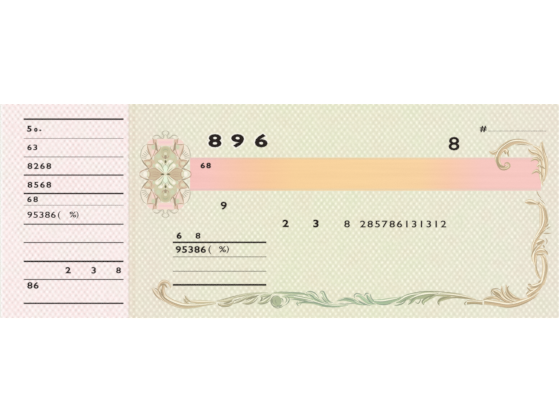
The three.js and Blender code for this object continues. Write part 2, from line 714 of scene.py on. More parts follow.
def dress(material: bpy.types.Material, nodes: Sequence[str]) -> None:
    """Gives CAD nodes their finish.

    Args:
        material: the finish.
        nodes: the nodes' names.
    """
    for name in nodes:
        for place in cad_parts[name].material_slots:
            place.material = material


@dataclass
class Typeface:
    """Flat outlines of plain figures, set in Blender's own typeface and kept for reuse.

    Its height is a figure's, for type of size 1, and its smoothness is the pieces per curve.
    """

    height: float = 0.69
    smoothness: int = 3
    kept: dict[tuple[str, Weight], tuple[list[Point], list[tuple[int, ...]]]] = field(
        default_factory=dict
    )

    def figure(self, sign: str, weight: Weight) -> tuple[list[Point], list[tuple[int, ...]]]:
        """Gives a figure, centred sideways with its foot at 0.

        Args:
            sign: the figure.
            weight: how bold it is.

        Returns:
            Its corners, and its faces as rows of corner numbers.
        """
        if (sign, weight) not in self.kept:
            curve = bpy.data.curves.new("figure", "FONT")
            curve.body = sign
            curve.resolution_u = self.smoothness
            curve.offset = weight.value
            holder = bpy.data.objects.new("figure", curve)
            bpy.context.scene.collection.objects.link(holder)
            mesh = holder.evaluated_get(bpy.context.evaluated_depsgraph_get()).to_mesh()
            across = [corner.co.x for corner in mesh.vertices]
            middle = (min(across) + max(across)) / 2
            corners = [(corner.co.x - middle, corner.co.y) for corner in mesh.vertices]
            faces = [tuple(face.vertices) for face in mesh.polygons]
            self.kept[sign, weight] = (corners, faces)
            bpy.data.objects.remove(holder)
            bpy.data.curves.remove(curve)
        return self.kept[sign, weight]


@dataclass
class Print:
    """One ink of one page, gathered as flat shapes and then given its thickness.

    The layer is how many ink steps above the paper its surface is, and the inset is how many its
    underside is. Each shape is a hair higher than the one before it, by its share of a step, so
    where two cross, one is on top. A pen stroke's tips have a share of its width, and swell to the
    whole of it over a share of its length. The shaded side is a direction on the page.
    """

    page: Page
    layer: float
    inset: float = 0.25
    shape_lift: float = 0.08
    shaded: Point = (0.5, 0.87)
    tip_width: float = 0.12
    tip_length: float = 0.5
    weld: float = 1e-7
    shapes: int = 0
    mesh: bmesh.types.BMesh = field(default_factory=bmesh.new)

    def __post_init__(self) -> None:
        """Measures the ink's underside and keeps a place for each shape's lift."""
        self.foot = self.page.face + self.inset * self.page.step
        self.lift = self.mesh.verts.layers.float.new("lift")

    def raise_corner(self, corner: bmesh.types.BMVert) -> bmesh.types.BMVert:
        """Notes how far above the first shape a corner is."""
        corner[self.lift] = self.shapes * self.shape_lift * self.page.step
        return corner

    def corner(self, point: Point) -> bmesh.types.BMVert:
        """Adds one corner at a page place."""
        x, y = self.page.place(point)
        return self.raise_corner(self.mesh.verts.new((x, y, self.foot)))

    def patch(self, points: Sequence[Point]) -> None:
        """Adds a filled outline."""
        self.shapes += 1
        self.mesh.faces.new([self.corner(point) for point in points])

    def rule(self, rule: Rule) -> None:
        """Adds a printed line.

        Args:
            rule: its ends, its middle and its weight.
        """
        top = rule.middle - rule.weight / 2
        foot = rule.middle + rule.weight / 2
        self.patch([(rule.start, top), (rule.end, top), (rule.end, foot), (rule.start, foot)])

    def disc(self, centre: Point, radius: float, squeeze: float = 1.0, sides: int = 20) -> None:
        """Adds a round or oval spot.

        Args:
            centre: its page place.
            radius: its radius along the page, in mm.
            squeeze: its height to its width.
            sides: how many sides it has.
        """
        self.shapes += 1
        middle = Vector((*self.page.place(centre), self.foot))
        matrix = Matrix.LocRotScale(middle, None, Vector((1.0, squeeze, 1.0)))
        made = bmesh.ops.create_circle(
            self.mesh, cap_ends=True, segments=sides, radius=radius * MM, matrix=matrix
        )
        for corner in made["verts"]:
            self.raise_corner(corner)

    def swell(self, share: float, tips: Tips) -> float:
        """Gives how wide a stroke is at a share of its length.

        Args:
            share: the place along it, from 0 at its start to 1 at its end.
            tips: which of its ends run out to a point.

        Returns:
            The share of its widest width.
        """
        ends = []
        if tips in (Tips.BOTH, Tips.START):
            ends.append(share)
        if tips in (Tips.BOTH, Tips.END):
            ends.append(1 - share)
        reach = min([self.tip_length, *ends]) / self.tip_length
        return self.tip_width + (1 - self.tip_width) * math.sin(math.pi / 2 * reach)

    def stroke(self, stroke: Stroke, lean: float = 0.0) -> None:
        """Adds a pen stroke as a ribbon that swells between its tips.

        Args:
            stroke: the stroke's places, width and tips.
            lean: how far the ribbon lies towards the shaded side, in mm at its widest. A stroke
                that runs with the light keeps to its middle, as shading on a round stem does.
        """
        self.shapes += 1
        line = smooth(stroke.points)
        last = len(line) - 1
        pairs = []
        for i, place in enumerate(line):
            along = (Vector(line[min(i + 1, last)]) - Vector(line[max(i - 1, 0)])).normalized()
            side = Vector((-along.y, along.x))
            share = self.swell(i / last, stroke.tips)
            middle = Vector(place) + side * (lean * share * side.dot(Vector(self.shaded)))
            reach = side * (stroke.width / 2 * share)
            pairs.append((self.corner(middle + reach), self.corner(middle - reach)))
        for (left, right), (next_left, next_right) in zip(pairs, pairs[1:]):
            self.mesh.faces.new((left, right, next_right, next_left))

    def figures(self, label: Label, face: Typeface) -> None:
        """Adds a row of figures, one to each equal cell of the label's box.

        Args:
            label: the figures and their box.
            face: the typeface.
        """
        cell = (label.right - label.left) / len(label.text)
        tall = (label.bottom - label.top) / face.height
        for i, sign in enumerate(label.text):
            places, faces = face.figure(sign, label.weight)
            middle = label.left + (i + 0.5) * cell
            corners = [
                self.corner((middle + x * tall * label.widen, label.bottom - y * tall))
                for x, y in places
            ]
            for indices in faces:
                self.mesh.faces.new([corners[k] for k in indices])

    def piece(self, name: str, material: bpy.types.Material, body: str) -> bpy.types.Object:
        """Gives the ink its thickness and makes it a piece.

        Args:
            name: the piece's name.
            material: the ink.
            body: the body that it rides on.

        Returns:
            The piece.
        """
        mesh = self.mesh
        bmesh.ops.remove_doubles(mesh, verts=mesh.verts, dist=self.weld)
        bmesh.ops.recalc_face_normals(mesh, faces=mesh.faces)
        upward = [face for face in mesh.faces if face.normal.z > 0]
        bmesh.ops.reverse_faces(mesh, faces=upward)
        lower = list(mesh.faces)
        grown = bmesh.ops.extrude_face_region(mesh, geom=lower, use_keep_orig=True)
        for part in grown["geom"]:
            if isinstance(part, bmesh.types.BMVert):
                part.co.z += (self.layer - self.inset) * self.page.step + part[self.lift]
        bmesh.ops.recalc_face_normals(mesh, faces=mesh.faces)
        return make_piece(mesh, name, material, body)


# Ruled lines and rows of plain figures, where a form of this kind has its fields.
STUB_RULES = tuple(
    Rule(9.3, 50.3, middle, weight)
    for middle, weight in (
        (6.33, 0.69), (14.23, 0.18), (21.84, 0.25), (29.28, 0.54), (36.84, 0.63), (41.64, 0.17),
        (49.43, 0.47), (56.97, 0.39), (64.69, 0.69), (72.12, 0.39), (81.9, 0.6),
    )
)
RECEIPT_RULES = tuple(
    Rule(70.5, 108.9, middle, weight)
    for middle, weight in ((56.88, 0.68), (62.84, 0.21), (68.73, 0.21), (74.32, 0.76))
)
STUB_LABELS = [
    Label("5", 10.5, 9.1, 12.8, 11.4, Weight.BOLD),
    Label("0", 13.3, 10.0, 15.3, 11.4, Weight.HEAVY),
    Label(".", 15.5, 8.5, 16.8, 11.1, Weight.BOLD),
    Label("63", 10.5, 16.8, 15.3, 19.0),
    Label("8268", 10.6, 24.4, 20.9, 26.7),
    Label("8568", 10.6, 32.1, 20.9, 34.4),
    Label("68", 10.4, 38.1, 15.5, 40.3),
    Label("95386", 10.6, 44.3, 22.7, 46.8, Weight.MEDIUM),
    Label("2", 26.3, 67.1, 28.8, 69.5, Weight.BOLD),
    Label("3", 36.8, 67.1, 39.3, 69.6),
    Label("8", 47.1, 67.2, 49.4, 69.5),
    Label("86", 10.6, 73.3, 15.7, 75.8),
    Label("(", 23.3, 44.1, 24.5, 46.6, Weight.LIGHT),
    Label("%", 28.2, 44.3, 30.8, 46.6, Weight.MEDIUM),
    Label(")", 30.7, 44.2, 32.0, 46.4, Weight.LIGHT),
]
RECEIPT_LABELS = [
    Label("68", 81.6, 24.3, 86.4, 26.4, Weight.BOLD),
    Label("9", 89.6, 40.3, 93.2, 43.3),
    Label("8", 182.8, 13.7, 189.0, 19.0, Weight.MEDIUM),
    Label("2", 115.1, 47.7, 118.5, 50.5, Weight.BOLD),
    Label("3", 127.6, 47.7, 130.9, 50.6, Weight.BOLD),
    Label("8", 140.4, 47.9, 143.6, 50.7, Weight.MEDIUM),
    Label("285786131312", 147.0, 48.0, 183.1, 50.7, Weight.MEDIUM),
    Label("6", 71.5, 52.9, 74.7, 55.3, Weight.BOLD),
    Label("8", 79.2, 53.0, 82.5, 55.3),
    Label("95386", 71.5, 58.5, 84.3, 61.1),
    Label("(", 85.1, 58.2, 86.3, 60.8, Weight.LIGHT),
    Label("%", 89.5, 58.5, 92.3, 60.9, Weight.MEDIUM),
    Label(")", 92.3, 58.3, 93.7, 60.6, Weight.LIGHT),
    Label("#", 196.0, 8.9, 199.8, 11.3),
]

# The acanthus scroll along the foot and up the right side, each stroke one frond.
SCROLL_BODY = [
    # The hook at the left end, its outer leaf and the stem that runs out of it.
    pen(0.98, (64.2, 75.9), (65.3, 73.8), (66.9, 72.9), (68.7, 73.6), (69.8, 75.8)),
    pen(0.82, (65.1, 76.1), (65.8, 74.7), (67.1, 74.3), (68.3, 75.7)),
    pen(1.07, (62.1, 75.7), (63.0, 77.0), (64.4, 78.9), (66.5, 80.5)),
    pen(1.31, (64.4, 75.0), (64.6, 76.8), (65.6, 78.9), (67.3, 80.7), (69.6, 82.0)),
    pen(2.13, (66.2, 74.7), (66.0, 76.8), (66.7, 78.9), (68.3, 80.4), (71.0, 81.8), (74.7, 82.9),
        (78.4, 83.0), (82.5, 82.7), (88.2, 81.9), tips=Tips.END),
    # The strand above the stem and the two spurs at its start.
    pen(1.15, (75.9, 80.9), (78.4, 81.1), (80.8, 81.3), (84.5, 81.3), (88.2, 81.4)),
    pen(0.82, (75.7, 78.9), (76.3, 80.3), (77.7, 81.3)),
    pen(0.74, (75.0, 80.1), (75.8, 81.3), (77.2, 82.1)),
    # Four leaves that climb towards the ball, each tucked under the one before.
    pen(0.57, (88.2, 81.3), (91.8, 80.5), (95.6, 79.4), (98.7, 78.7), (101.4, 78.1), (105.5, 77.7),
        (109.6, 77.5)),
    pen(1.48, (89.1, 82.1), (91.5, 82.6), (94.0, 82.1), (95.6, 81.2)),
    pen(0.9, (89.9, 81.2), (93.0, 80.7), (95.6, 79.8)),
    pen(0.66, (95.6, 81.9), (97.7, 81.1), (99.7, 80.2), (101.8, 79.1)),
    pen(0.9, (98.1, 80.7), (100.8, 79.5), (104.2, 78.5)),
    pen(1.07, (99.3, 81.6), (101.4, 81.5), (103.3, 80.4), (105.1, 79.0)),
    pen(1.15, (105.2, 81.4), (107.4, 81.4), (109.2, 80.3), (110.8, 78.9)),
    pen(0.82, (106.3, 79.3), (108.3, 78.7), (111.2, 78.3)),
    # The long stem right of the ball, with a curled leaf beneath it.
    pen(0.66, (110.8, 77.8), (114.5, 77.5), (118.6, 77.8), (123.9, 78.0), (126.8, 79.3)),
    pen(0.9, (115.3, 79.2), (119.0, 79.2), (122.7, 79.5), (126.8, 80.6)),
    pen(1.48, (120.2, 79.5), (124.4, 80.2), (127.6, 81.0), (130.5, 81.9), (133.4, 82.6),
        (137.5, 83.0), (142.4, 82.7), tips=Tips.END),
    pen(1.23, (121.5, 82.1), (123.3, 81.3), (126.0, 81.2), (128.9, 81.6), (131.7, 82.3)),
    # Two leaves that stand up from the stem.
    pen(1.4, (125.2, 78.0), (127.1, 78.3), (128.9, 80.1), (131.7, 81.5), (135.4, 82.4)),
    pen(1.07, (131.2, 77.6), (132.4, 78.0), (133.4, 80.1), (135.4, 81.7)),
    # The second tuft: a low leaf and three that turn back.
    pen(1.31, (137.9, 80.9), (140.8, 80.2), (144.1, 80.7), (146.5, 81.9), (149.8, 82.6)),
    pen(0.98, (145.5, 79.0), (147.1, 78.9), (149.0, 80.3), (151.0, 81.8), (153.9, 82.2)),
    pen(0.82, (150.0, 78.3), (150.9, 80.0), (152.5, 81.5)),
    # The broad stem and the leaves that hang from it.
    pen(1.97, (151.8, 80.5), (153.9, 81.1), (156.6, 81.3), (159.2, 80.9), (162.1, 80.2),
        (165.0, 79.3)),
    pen(1.89, (162.1, 81.7), (164.2, 80.7), (166.6, 79.4), (169.5, 78.5), (172.4, 78.2)),
    pen(2.3, (167.4, 80.5), (170.3, 79.4), (173.6, 78.6), (176.9, 78.2), (180.2, 78.0)),
    pen(1.15, (167.0, 82.4), (168.3, 81.3), (169.9, 79.8), (172.4, 78.9)),
    pen(0.98, (173.4, 82.6), (173.6, 81.2), (175.7, 79.8), (178.5, 78.9)),
    pen(1.56, (176.1, 78.9), (179.8, 78.4), (183.4, 78.5), (187.1, 78.9), (191.2, 79.5),
        (194.9, 80.3)),
    pen(1.15, (179.7, 82.6), (179.9, 80.8), (181.8, 79.9), (184.7, 79.4), (189.2, 79.5)),
    # The ferrule, and the great leaf that opens to the right of it.
    pen(1.23, (191.2, 81.5), (194.3, 81.3), (197.6, 81.6), tips=Tips.NONE),
    pen(0.82, (197.8, 80.4), (199.6, 79.8), (202.3, 79.5), (204.8, 80.3), tips=Tips.START),
    pen(1.97, (198.3, 81.2), (200.9, 81.5), (204.0, 82.0), (207.8, 82.6), (211.6, 82.1),
        (215.3, 80.8), (218.3, 79.3), (220.7, 77.5), tips=Tips.END),
    pen(1.81, (201.1, 76.2), (202.9, 77.1), (204.4, 78.4), (206.6, 80.3), (210.0, 81.6)),
    pen(1.23, (205.4, 74.7), (205.9, 77.8), (208.1, 80.1), (211.2, 81.3)),
    pen(1.4, (207.2, 74.2), (207.7, 76.7), (209.5, 78.9), (212.2, 80.2), (215.5, 79.9)),
    pen(1.56, (215.9, 78.9), (217.8, 77.7), (219.8, 76.3), (221.5, 74.6), (222.4, 72.3),
        tips=Tips.END),
    pen(0.98, (216.1, 75.8), (217.4, 76.4), (219.2, 76.1), (220.8, 75.0)),
    # The great hook at the top right, over the end of the band.
    pen(2.3, (208.3, 25.5), (205.8, 26.0), (204.1, 24.1), (203.8, 21.6), (204.8, 19.4),
        (206.8, 17.5), (209.3, 16.0), (212.2, 15.5), (215.5, 15.9), (218.3, 17.0)),
    pen(1.23, (200.3, 19.5), (202.3, 20.2), (204.8, 18.6)),
    pen(1.07, (205.4, 20.1), (206.7, 19.0), (207.7, 19.7), (208.4, 21.4)),
    pen(0.7, (205.6, 26.6), (207.7, 26.5), (208.6, 25.5), (208.0, 24.4), (206.8, 24.6)),
    # The leafy stem down the right side, with the tufts on its inner side.
    pen(2.38, (218.3, 17.3), (220.6, 18.6), (222.3, 21.2), (223.2, 24.5), (223.3, 28.3),
        (222.7, 32.0)),
    pen(1.81, (218.7, 19.3), (220.6, 21.4), (221.5, 23.8), (221.7, 26.9), (221.7, 30.4),
        (222.4, 33.7)),
    pen(1.72, (216.4, 18.9), (217.9, 19.9), (219.6, 20.4), (221.2, 21.8)),
    pen(1.64, (222.1, 15.4), (221.9, 17.6), (222.4, 20.0), (223.5, 22.6)),
    pen(0.82, (217.5, 23.4), (219.4, 22.5), (221.5, 23.7)),
    pen(1.23, (219.8, 25.9), (221.0, 25.1), (222.7, 26.3)),
    pen(0.82, (217.9, 28.7), (219.8, 27.5), (221.9, 28.7)),
    # The double bend below it and its side leaf.
    pen(1.89, (215.0, 40.5), (216.4, 40.3), (218.1, 40.5), (220.4, 41.2)),
    pen(1.4, (220.0, 41.1), (221.5, 42.7), (221.9, 45.2), (221.9, 47.6), (221.6, 50.1),
        (220.5, 52.6)),
    pen(2.3, (218.9, 40.1), (221.0, 40.9), (222.4, 42.9), (223.0, 45.3), (223.2, 47.6),
        (222.5, 50.4), (221.1, 52.8), (219.6, 55.0), (218.6, 57.1)),
    pen(1.31, (223.3, 51.7), (221.0, 53.8), (219.3, 56.3), (218.3, 58.9), (218.1, 61.6)),
    pen(1.97, (221.9, 57.7), (220.0, 59.5), (219.0, 61.8), (218.8, 64.1), (219.4, 66.7)),
    pen(0.74, (219.5, 65.7), (219.7, 68.3), (220.5, 70.5), (221.8, 72.4)),
    pen(2.05, (219.7, 57.3), (221.1, 56.8), (223.1, 56.3)),
    # The ring at the foot of the right side.
    pen(1.81, (219.8, 62.3), (221.4, 61.7), (222.5, 62.8), (223.1, 64.9), (223.3, 67.4),
        (223.0, 70.2), (222.4, 72.6), (221.8, 74.2), tips=Tips.START),
    pen(1.4, (218.8, 62.0), (220.1, 60.6), (221.9, 60.2), (223.4, 60.8), (224.6, 62.0)),
    pen(1.64, (222.6, 72.7), (221.1, 74.1), (219.4, 74.9), (217.8, 75.0), (216.3, 74.3)),
]

# The scroll's pen lines, which sharpen its edges and curls.
SCROLL_LINE = [
    # Curls and leaf edges from the left end to the ball.
    pen(0.29, (61.9, 75.8), (62.8, 77.5), (64.1, 79.3), (65.7, 80.7)),
    pen(0.33, (62.4, 75.4), (64.0, 76.1), (65.3, 77.6), (66.1, 79.4)),
    pen(0.62, (65.0, 75.5), (65.9, 74.3), (67.2, 74.3), (68.3, 75.7)),
    pen(0.62, (65.5, 75.8), (65.9, 77.6), (66.8, 79.3), (68.3, 80.7)),
    pen(0.37, (75.3, 78.5), (76.4, 80.3), (78.0, 81.3)),
    pen(0.37, (74.8, 79.8), (75.8, 81.2), (76.9, 82.1)),
    pen(0.29, (88.2, 80.9), (91.8, 80.1), (95.7, 79.0), (98.7, 78.3)),
    pen(0.37, (89.0, 81.6), (89.3, 82.6), (90.9, 83.2), (93.0, 83.2), (94.8, 82.6)),
    pen(0.7, (91.3, 82.1), (93.2, 81.6), (95.0, 80.7)),
    pen(0.37, (95.0, 81.1), (96.7, 80.5), (98.5, 79.8)),
    pen(0.45, (95.0, 82.1), (96.9, 81.6), (98.7, 80.8), (100.9, 79.4)),
    pen(0.41, (98.9, 81.9), (100.8, 82.3), (102.8, 81.9), (104.5, 80.8), (105.6, 79.4)),
    pen(0.78, (100.4, 80.7), (101.9, 79.9), (104.0, 79.3), (106.0, 78.4)),
    pen(0.41, (105.0, 81.8), (106.7, 82.2), (108.9, 81.7), (110.6, 80.6)),
    pen(0.74, (106.2, 81.3), (107.0, 80.2), (107.0, 79.1)),
    pen(0.57, (107.5, 80.3), (109.3, 79.4), (111.2, 78.2)),
    # The ball's edge and the curls beside it.
    pen(0.45, (114.3, 79.2), (112.6, 78.8), (111.2, 79.8), (110.8, 81.3), (111.6, 82.8),
        (113.3, 83.3), (114.7, 82.6)),
    pen(0.41, (111.4, 79.9), (111.3, 81.2), (111.9, 82.3)),
    pen(0.33, (112.8, 80.3), (112.6, 81.2), (113.2, 82.0)),
    pen(0.53, (113.1, 82.8), (114.3, 83.1), (115.5, 82.4)),
    pen(0.41, (114.7, 79.8), (115.6, 80.3), (115.7, 81.5)),
    pen(0.37, (116.4, 79.3), (117.3, 80.4), (116.7, 81.7)),
    pen(0.41, (117.4, 78.9), (118.3, 80.2), (117.8, 81.6), (116.6, 82.7)),
    pen(0.33, (111.4, 83.0), (113.1, 83.8), (114.9, 83.5), (116.6, 82.6)),
    # The long stem's edges and the curled ends of its leaves.
    pen(0.41, (112.0, 77.3), (116.1, 77.3), (121.1, 77.6), (123.9, 77.8), (126.2, 78.9)),
    pen(0.29, (116.1, 78.7), (119.4, 78.7), (122.3, 79.0), (125.2, 79.8)),
    pen(0.37, (118.6, 80.2), (121.5, 80.4), (124.8, 80.9), (127.6, 81.6)),
    pen(0.41, (121.7, 81.2), (121.4, 82.1), (122.1, 83.0)),
    pen(0.45, (122.7, 82.8), (123.4, 81.7), (125.4, 81.4), (128.0, 81.6), (130.9, 82.4),
        (134.2, 83.2)),
    pen(0.45, (125.2, 77.6), (126.4, 77.0), (128.3, 77.4), (129.5, 78.4), (130.5, 79.8)),
    pen(0.62, (126.6, 78.4), (127.9, 79.1), (128.9, 80.3)),
    pen(0.45, (130.7, 78.0), (131.5, 76.9), (132.6, 77.3), (133.1, 79.0), (134.5, 80.9),
        (136.7, 81.9)),
    pen(0.45, (131.5, 79.0), (132.6, 80.7), (134.5, 81.9)),
    pen(0.33, (131.7, 82.9), (135.4, 83.4), (139.1, 83.4), tips=Tips.END),
    pen(0.33, (128.3, 79.5), (130.1, 80.6), (132.1, 81.6), (135.0, 82.5)),
    # The second tuft's edges and curls.
    pen(0.41, (138.7, 80.9), (141.2, 80.0), (143.6, 80.3), (145.9, 81.2)),
    pen(0.33, (138.3, 82.0), (141.6, 82.2), (146.1, 81.7)),
    pen(0.41, (145.2, 79.8), (145.0, 78.6), (146.3, 77.8), (148.6, 78.6)),
    pen(0.45, (149.0, 78.9), (149.9, 77.8), (151.0, 77.9)),
    pen(0.33, (146.3, 80.3), (148.0, 81.5), (150.5, 82.5)),
    pen(0.53, (150.2, 78.3), (150.6, 80.1), (151.8, 81.5), (153.5, 82.1)),
    pen(0.45, (151.5, 78.0), (152.0, 79.8), (153.2, 81.0)),
    pen(0.33, (146.6, 80.9), (148.6, 82.1), (152.1, 83.0)),
    pen(0.37, (153.9, 82.1), (157.2, 82.5), (160.5, 81.9)),
    # The broad stem's veins and the tips of its hanging leaves.
    pen(0.49, (161.3, 82.7), (163.0, 82.6), (165.1, 81.8), (166.3, 80.4)),
    pen(0.49, (167.0, 82.6), (168.0, 81.6), (169.2, 80.1), (171.4, 78.8)),
    pen(0.41, (169.9, 81.2), (171.1, 82.0), (172.0, 80.9), (172.4, 79.7)),
    pen(0.62, (173.4, 82.6), (172.8, 81.2), (174.3, 79.8), (176.6, 78.7), (179.3, 77.8)),
    pen(0.66, (180.0, 82.9), (179.3, 81.5), (180.4, 80.2), (182.4, 79.5), (184.7, 79.2)),
    pen(0.33, (162.1, 80.1), (166.5, 78.5), (170.2, 77.5), (173.7, 77.1), (179.4, 77.1),
        (184.3, 77.5), (189.6, 78.0)),
    pen(0.37, (163.7, 81.9), (165.4, 80.7), (167.7, 79.4)),
    pen(0.37, (175.4, 80.1), (176.7, 79.1), (178.9, 78.4)),
    pen(0.45, (183.0, 79.8), (186.3, 79.4), (190.0, 79.7), (193.3, 80.3)),
    pen(0.45, (191.1, 81.1), (190.3, 81.9), (190.6, 82.8)),
    pen(0.37, (191.2, 82.2), (194.4, 82.0), (197.6, 82.3), tips=Tips.NONE),
    # The great leaf's edges.
    pen(0.37, (197.9, 80.7), (199.9, 79.8), (202.1, 79.4)),
    pen(0.45, (201.2, 76.6), (201.9, 77.8), (204.0, 79.3), (206.7, 81.1), (210.1, 82.1)),
    pen(0.37, (201.7, 78.9), (201.1, 77.4), (201.9, 76.1), (203.6, 75.9), (205.4, 76.6)),
    pen(1.07, (202.2, 76.9), (203.7, 78.0), (205.4, 79.4)),
    pen(0.41, (205.3, 75.7), (205.9, 78.1), (207.9, 80.2), (211.4, 81.6)),
    pen(0.82, (208.5, 74.7), (207.7, 76.1), (208.5, 77.9), (210.3, 79.5), (213.0, 80.1)),
    pen(0.37, (206.9, 76.8), (207.8, 78.7), (209.7, 80.3)),
    pen(0.41, (204.0, 83.0), (208.1, 83.5), (211.8, 82.9), (214.8, 81.8), (217.5, 80.5),
        (220.1, 78.9)),
    pen(0.37, (215.5, 78.4), (216.0, 77.4), (217.0, 76.6)),
    pen(0.53, (216.2, 74.2), (216.9, 74.1), (217.8, 74.7)),
    pen(0.45, (215.8, 75.2), (216.3, 75.9), (217.3, 76.6), (218.3, 76.6)),
    pen(0.49, (217.1, 79.1), (218.2, 78.1), (219.6, 77.2)),
    pen(0.57, (220.5, 73.5), (221.0, 72.9), (221.6, 72.5)),
    # The right side's curls and leaf edges.
    pen(0.45, (203.3, 22.8), (203.7, 25.1), (205.2, 26.9), (207.4, 27.0), (209.1, 25.6)),
    pen(0.37, (203.0, 21.4), (204.2, 18.9), (206.4, 16.8), (209.3, 15.1), (212.6, 14.5),
        (216.3, 15.0)),
    pen(0.98, (203.4, 21.6), (203.6, 23.7), (204.6, 25.3), (206.0, 25.9), (207.1, 25.3)),
    pen(0.29, (206.6, 25.3), (206.8, 24.5), (207.6, 24.1), (208.6, 24.6), (208.8, 25.7)),
    pen(0.57, (206.6, 19.4), (206.8, 20.1), (207.3, 20.8)),
    pen(0.53, (208.5, 19.1), (207.9, 20.3), (208.4, 21.8)),
    pen(0.37, (210.9, 17.0), (213.8, 16.7), (216.7, 17.1)),
    pen(0.41, (216.3, 18.3), (217.3, 19.6), (219.3, 20.8)),
    pen(0.41, (217.3, 23.7), (219.2, 22.8), (221.2, 24.1)),
    pen(0.74, (221.0, 26.0), (221.9, 25.9), (223.3, 26.8)),
    pen(0.41, (219.6, 20.2), (221.5, 21.7), (222.6, 23.8)),
    pen(0.37, (219.0, 21.8), (220.5, 22.5), (221.8, 24.2)),
    pen(0.37, (219.6, 26.7), (221.0, 27.8), (222.2, 29.7), (222.7, 32.0)),
    pen(0.45, (217.7, 28.9), (219.6, 27.9), (221.6, 29.0)),
    pen(0.33, (221.6, 15.6), (222.7, 18.9), (224.1, 22.2)),
    pen(0.37, (219.8, 35.6), (220.5, 37.4), (221.8, 38.9)),
    pen(0.7, (215.7, 40.7), (217.8, 40.7), (219.7, 41.2)),
    pen(0.57, (220.1, 41.3), (220.7, 40.9), (220.9, 40.2)),
    pen(0.33, (221.0, 38.9), (222.2, 40.1), (223.3, 41.3)),
    pen(0.53, (222.3, 41.7), (223.4, 43.8), (223.8, 46.0), (224.1, 47.9), (223.5, 49.9)),
    pen(0.53, (223.1, 50.5), (224.0, 50.1), (224.8, 49.2)),
    pen(0.33, (223.4, 51.7), (224.4, 51.1), (225.5, 50.3)),
    pen(0.45, (222.4, 53.1), (224.0, 53.2), (225.9, 53.1)),
    pen(0.53, (223.4, 51.7), (221.8, 52.9), (220.9, 54.0), (219.9, 55.4)),
    pen(1.15, (219.9, 57.7), (221.2, 57.1), (222.9, 55.9)),
    pen(0.37, (223.4, 55.1), (224.1, 56.3), (223.6, 57.9)),
    pen(0.66, (220.7, 57.7), (219.3, 59.3), (218.3, 60.8), (217.6, 62.8)),
    pen(0.66, (222.3, 58.0), (222.8, 58.6), (222.8, 59.3)),
    pen(0.53, (219.4, 61.9), (221.4, 61.9), (223.1, 61.7)),
    pen(0.53, (222.8, 60.0), (224.0, 60.8), (224.2, 62.0)),
    pen(0.37, (220.0, 63.5), (219.6, 66.5), (220.1, 69.2), (221.4, 72.0)),
    pen(0.49, (223.2, 63.1), (223.9, 66.5), (223.6, 69.8), (222.7, 72.7)),
    pen(0.66, (217.5, 75.2), (219.4, 75.2), (221.9, 73.8)),
]


class Mirror(Enum):
    """The mirror images in which a shape of the rosette is printed, as signs for x and y."""

    ALL = ((1, 1), (1, -1), (-1, 1), (-1, -1))
    SIDES = ((1, 1), (-1, 1))
    ENDS = ((1, 1), (1, -1))
    NONE = ((1, 1),)


# Where the inks have their colours, in page millimetres: a flat one all along, and the ones that
# change where the ducts of the ink fountain are.
FLAT = (0.0,)
SCROLL_DUCTS = (64.1, 82.4, 103.1, 119.1, 155.7, 174.0, 192.4, 206.1, 229.0)
BAND_DUCTS = (75.6, 84.7, 100.1, 109.5, 120.7, 148.9, 172.2, 183.2, 197.4, 229.0)
EDGE_DUCTS = (84.7, 100.1, 120.7, 172.2, 197.4, 229.0)


class InkTone(Enum):
    """The inks, each with the places of its colours and their sRGB hex values."""

    BLACK = FLAT, "1F1410"
    HALO = FLAT, "FBF8EE"
    BAND = BAND_DUCTS, "F8C2BE F9C4BE F9C7A6 F9CB9B FAD29A FAD49C FAD3A0 FACBAA F9C8C0 F9C8C4"
    EDGE = EDGE_DUCTS, "EAC4C0 EBC8AC EDD3A5 EDD3AA EECBC2 EECFC8"
    RIM = SCROLL_DUCTS, "CDB898 C7BE98 B7B895 ABBC94 A8BE9B B2BC93 C6BA94 D1BD97 D6C49F"
    BODY = SCROLL_DUCTS, "F0E1C6 EEE6C9 E0E3C4 D1E0BA C9DFBA D6DDB8 EAE1C1 F3E4C4 F5E7C9"
    SHADE = SCROLL_DUCTS, "CBAE8A CFC199 B9B692 AFBE96 A6C19B ADB68B C4B48B D3B892 DBC39E"
    LINE = SCROLL_DUCTS, "AC9878 A69E7B 9B997A 90A389 91A58F 919A76 A59872 B39F7B BFAB89"
    LIGHT = FLAT, "FFFAE6"
    CREAM = FLAT, "F3EAD8"
    OLIVE = FLAT, "D2CDAA"
    LEAF = FLAT, "DCC5A7"
    PEACH = FLAT, "EAD6C2"
    TAN = FLAT, "D0BD9B"
    PINK = FLAT, "F8D8CE"
    ROSE = FLAT, "F8CFD0"
    GREEN = FLAT, "C9C29C"
    MOSS = FLAT, "D0D6B4"
    GLINT = FLAT, "E2DEC0"
    SAND = FLAT, "DDBCA6"
    WHITE = FLAT, "FBF6E9"
    STAR = FLAT, "EFEBD3"
    MINT = FLAT, "E9F6DC"
    GREY = FLAT, "BDB8A4"
    BROWN = FLAT, "C2A48A"
    UMBER = FLAT, "A6957A"
    SAGE = FLAT, "A9B592"
    DARK = FLAT, "6E6A48"

    def mix(self, grain: float) -> bpy.types.Material:
        """Mixes the ink so that it lets this much of the paper's grain through."""
        return Ink(f"{self.name.lower()}_ink", stops=fountain(*self.value), grain=grain).material()


def mix_inks(thin: float = 0.05, dense: float = 0.002) -> dict[InkTone, bpy.types.Material]:
    """Mixes the inks. Black is so dense that next to none of the paper's grain shows in it.

    Args:
        thin: how much of the grain the others let through.
        dense: how much of it black lets through.

    Returns:
        Each ink's material.
    """
    return {tone: tone.mix(dense if tone is InkTone.BLACK else thin) for tone in InkTone}


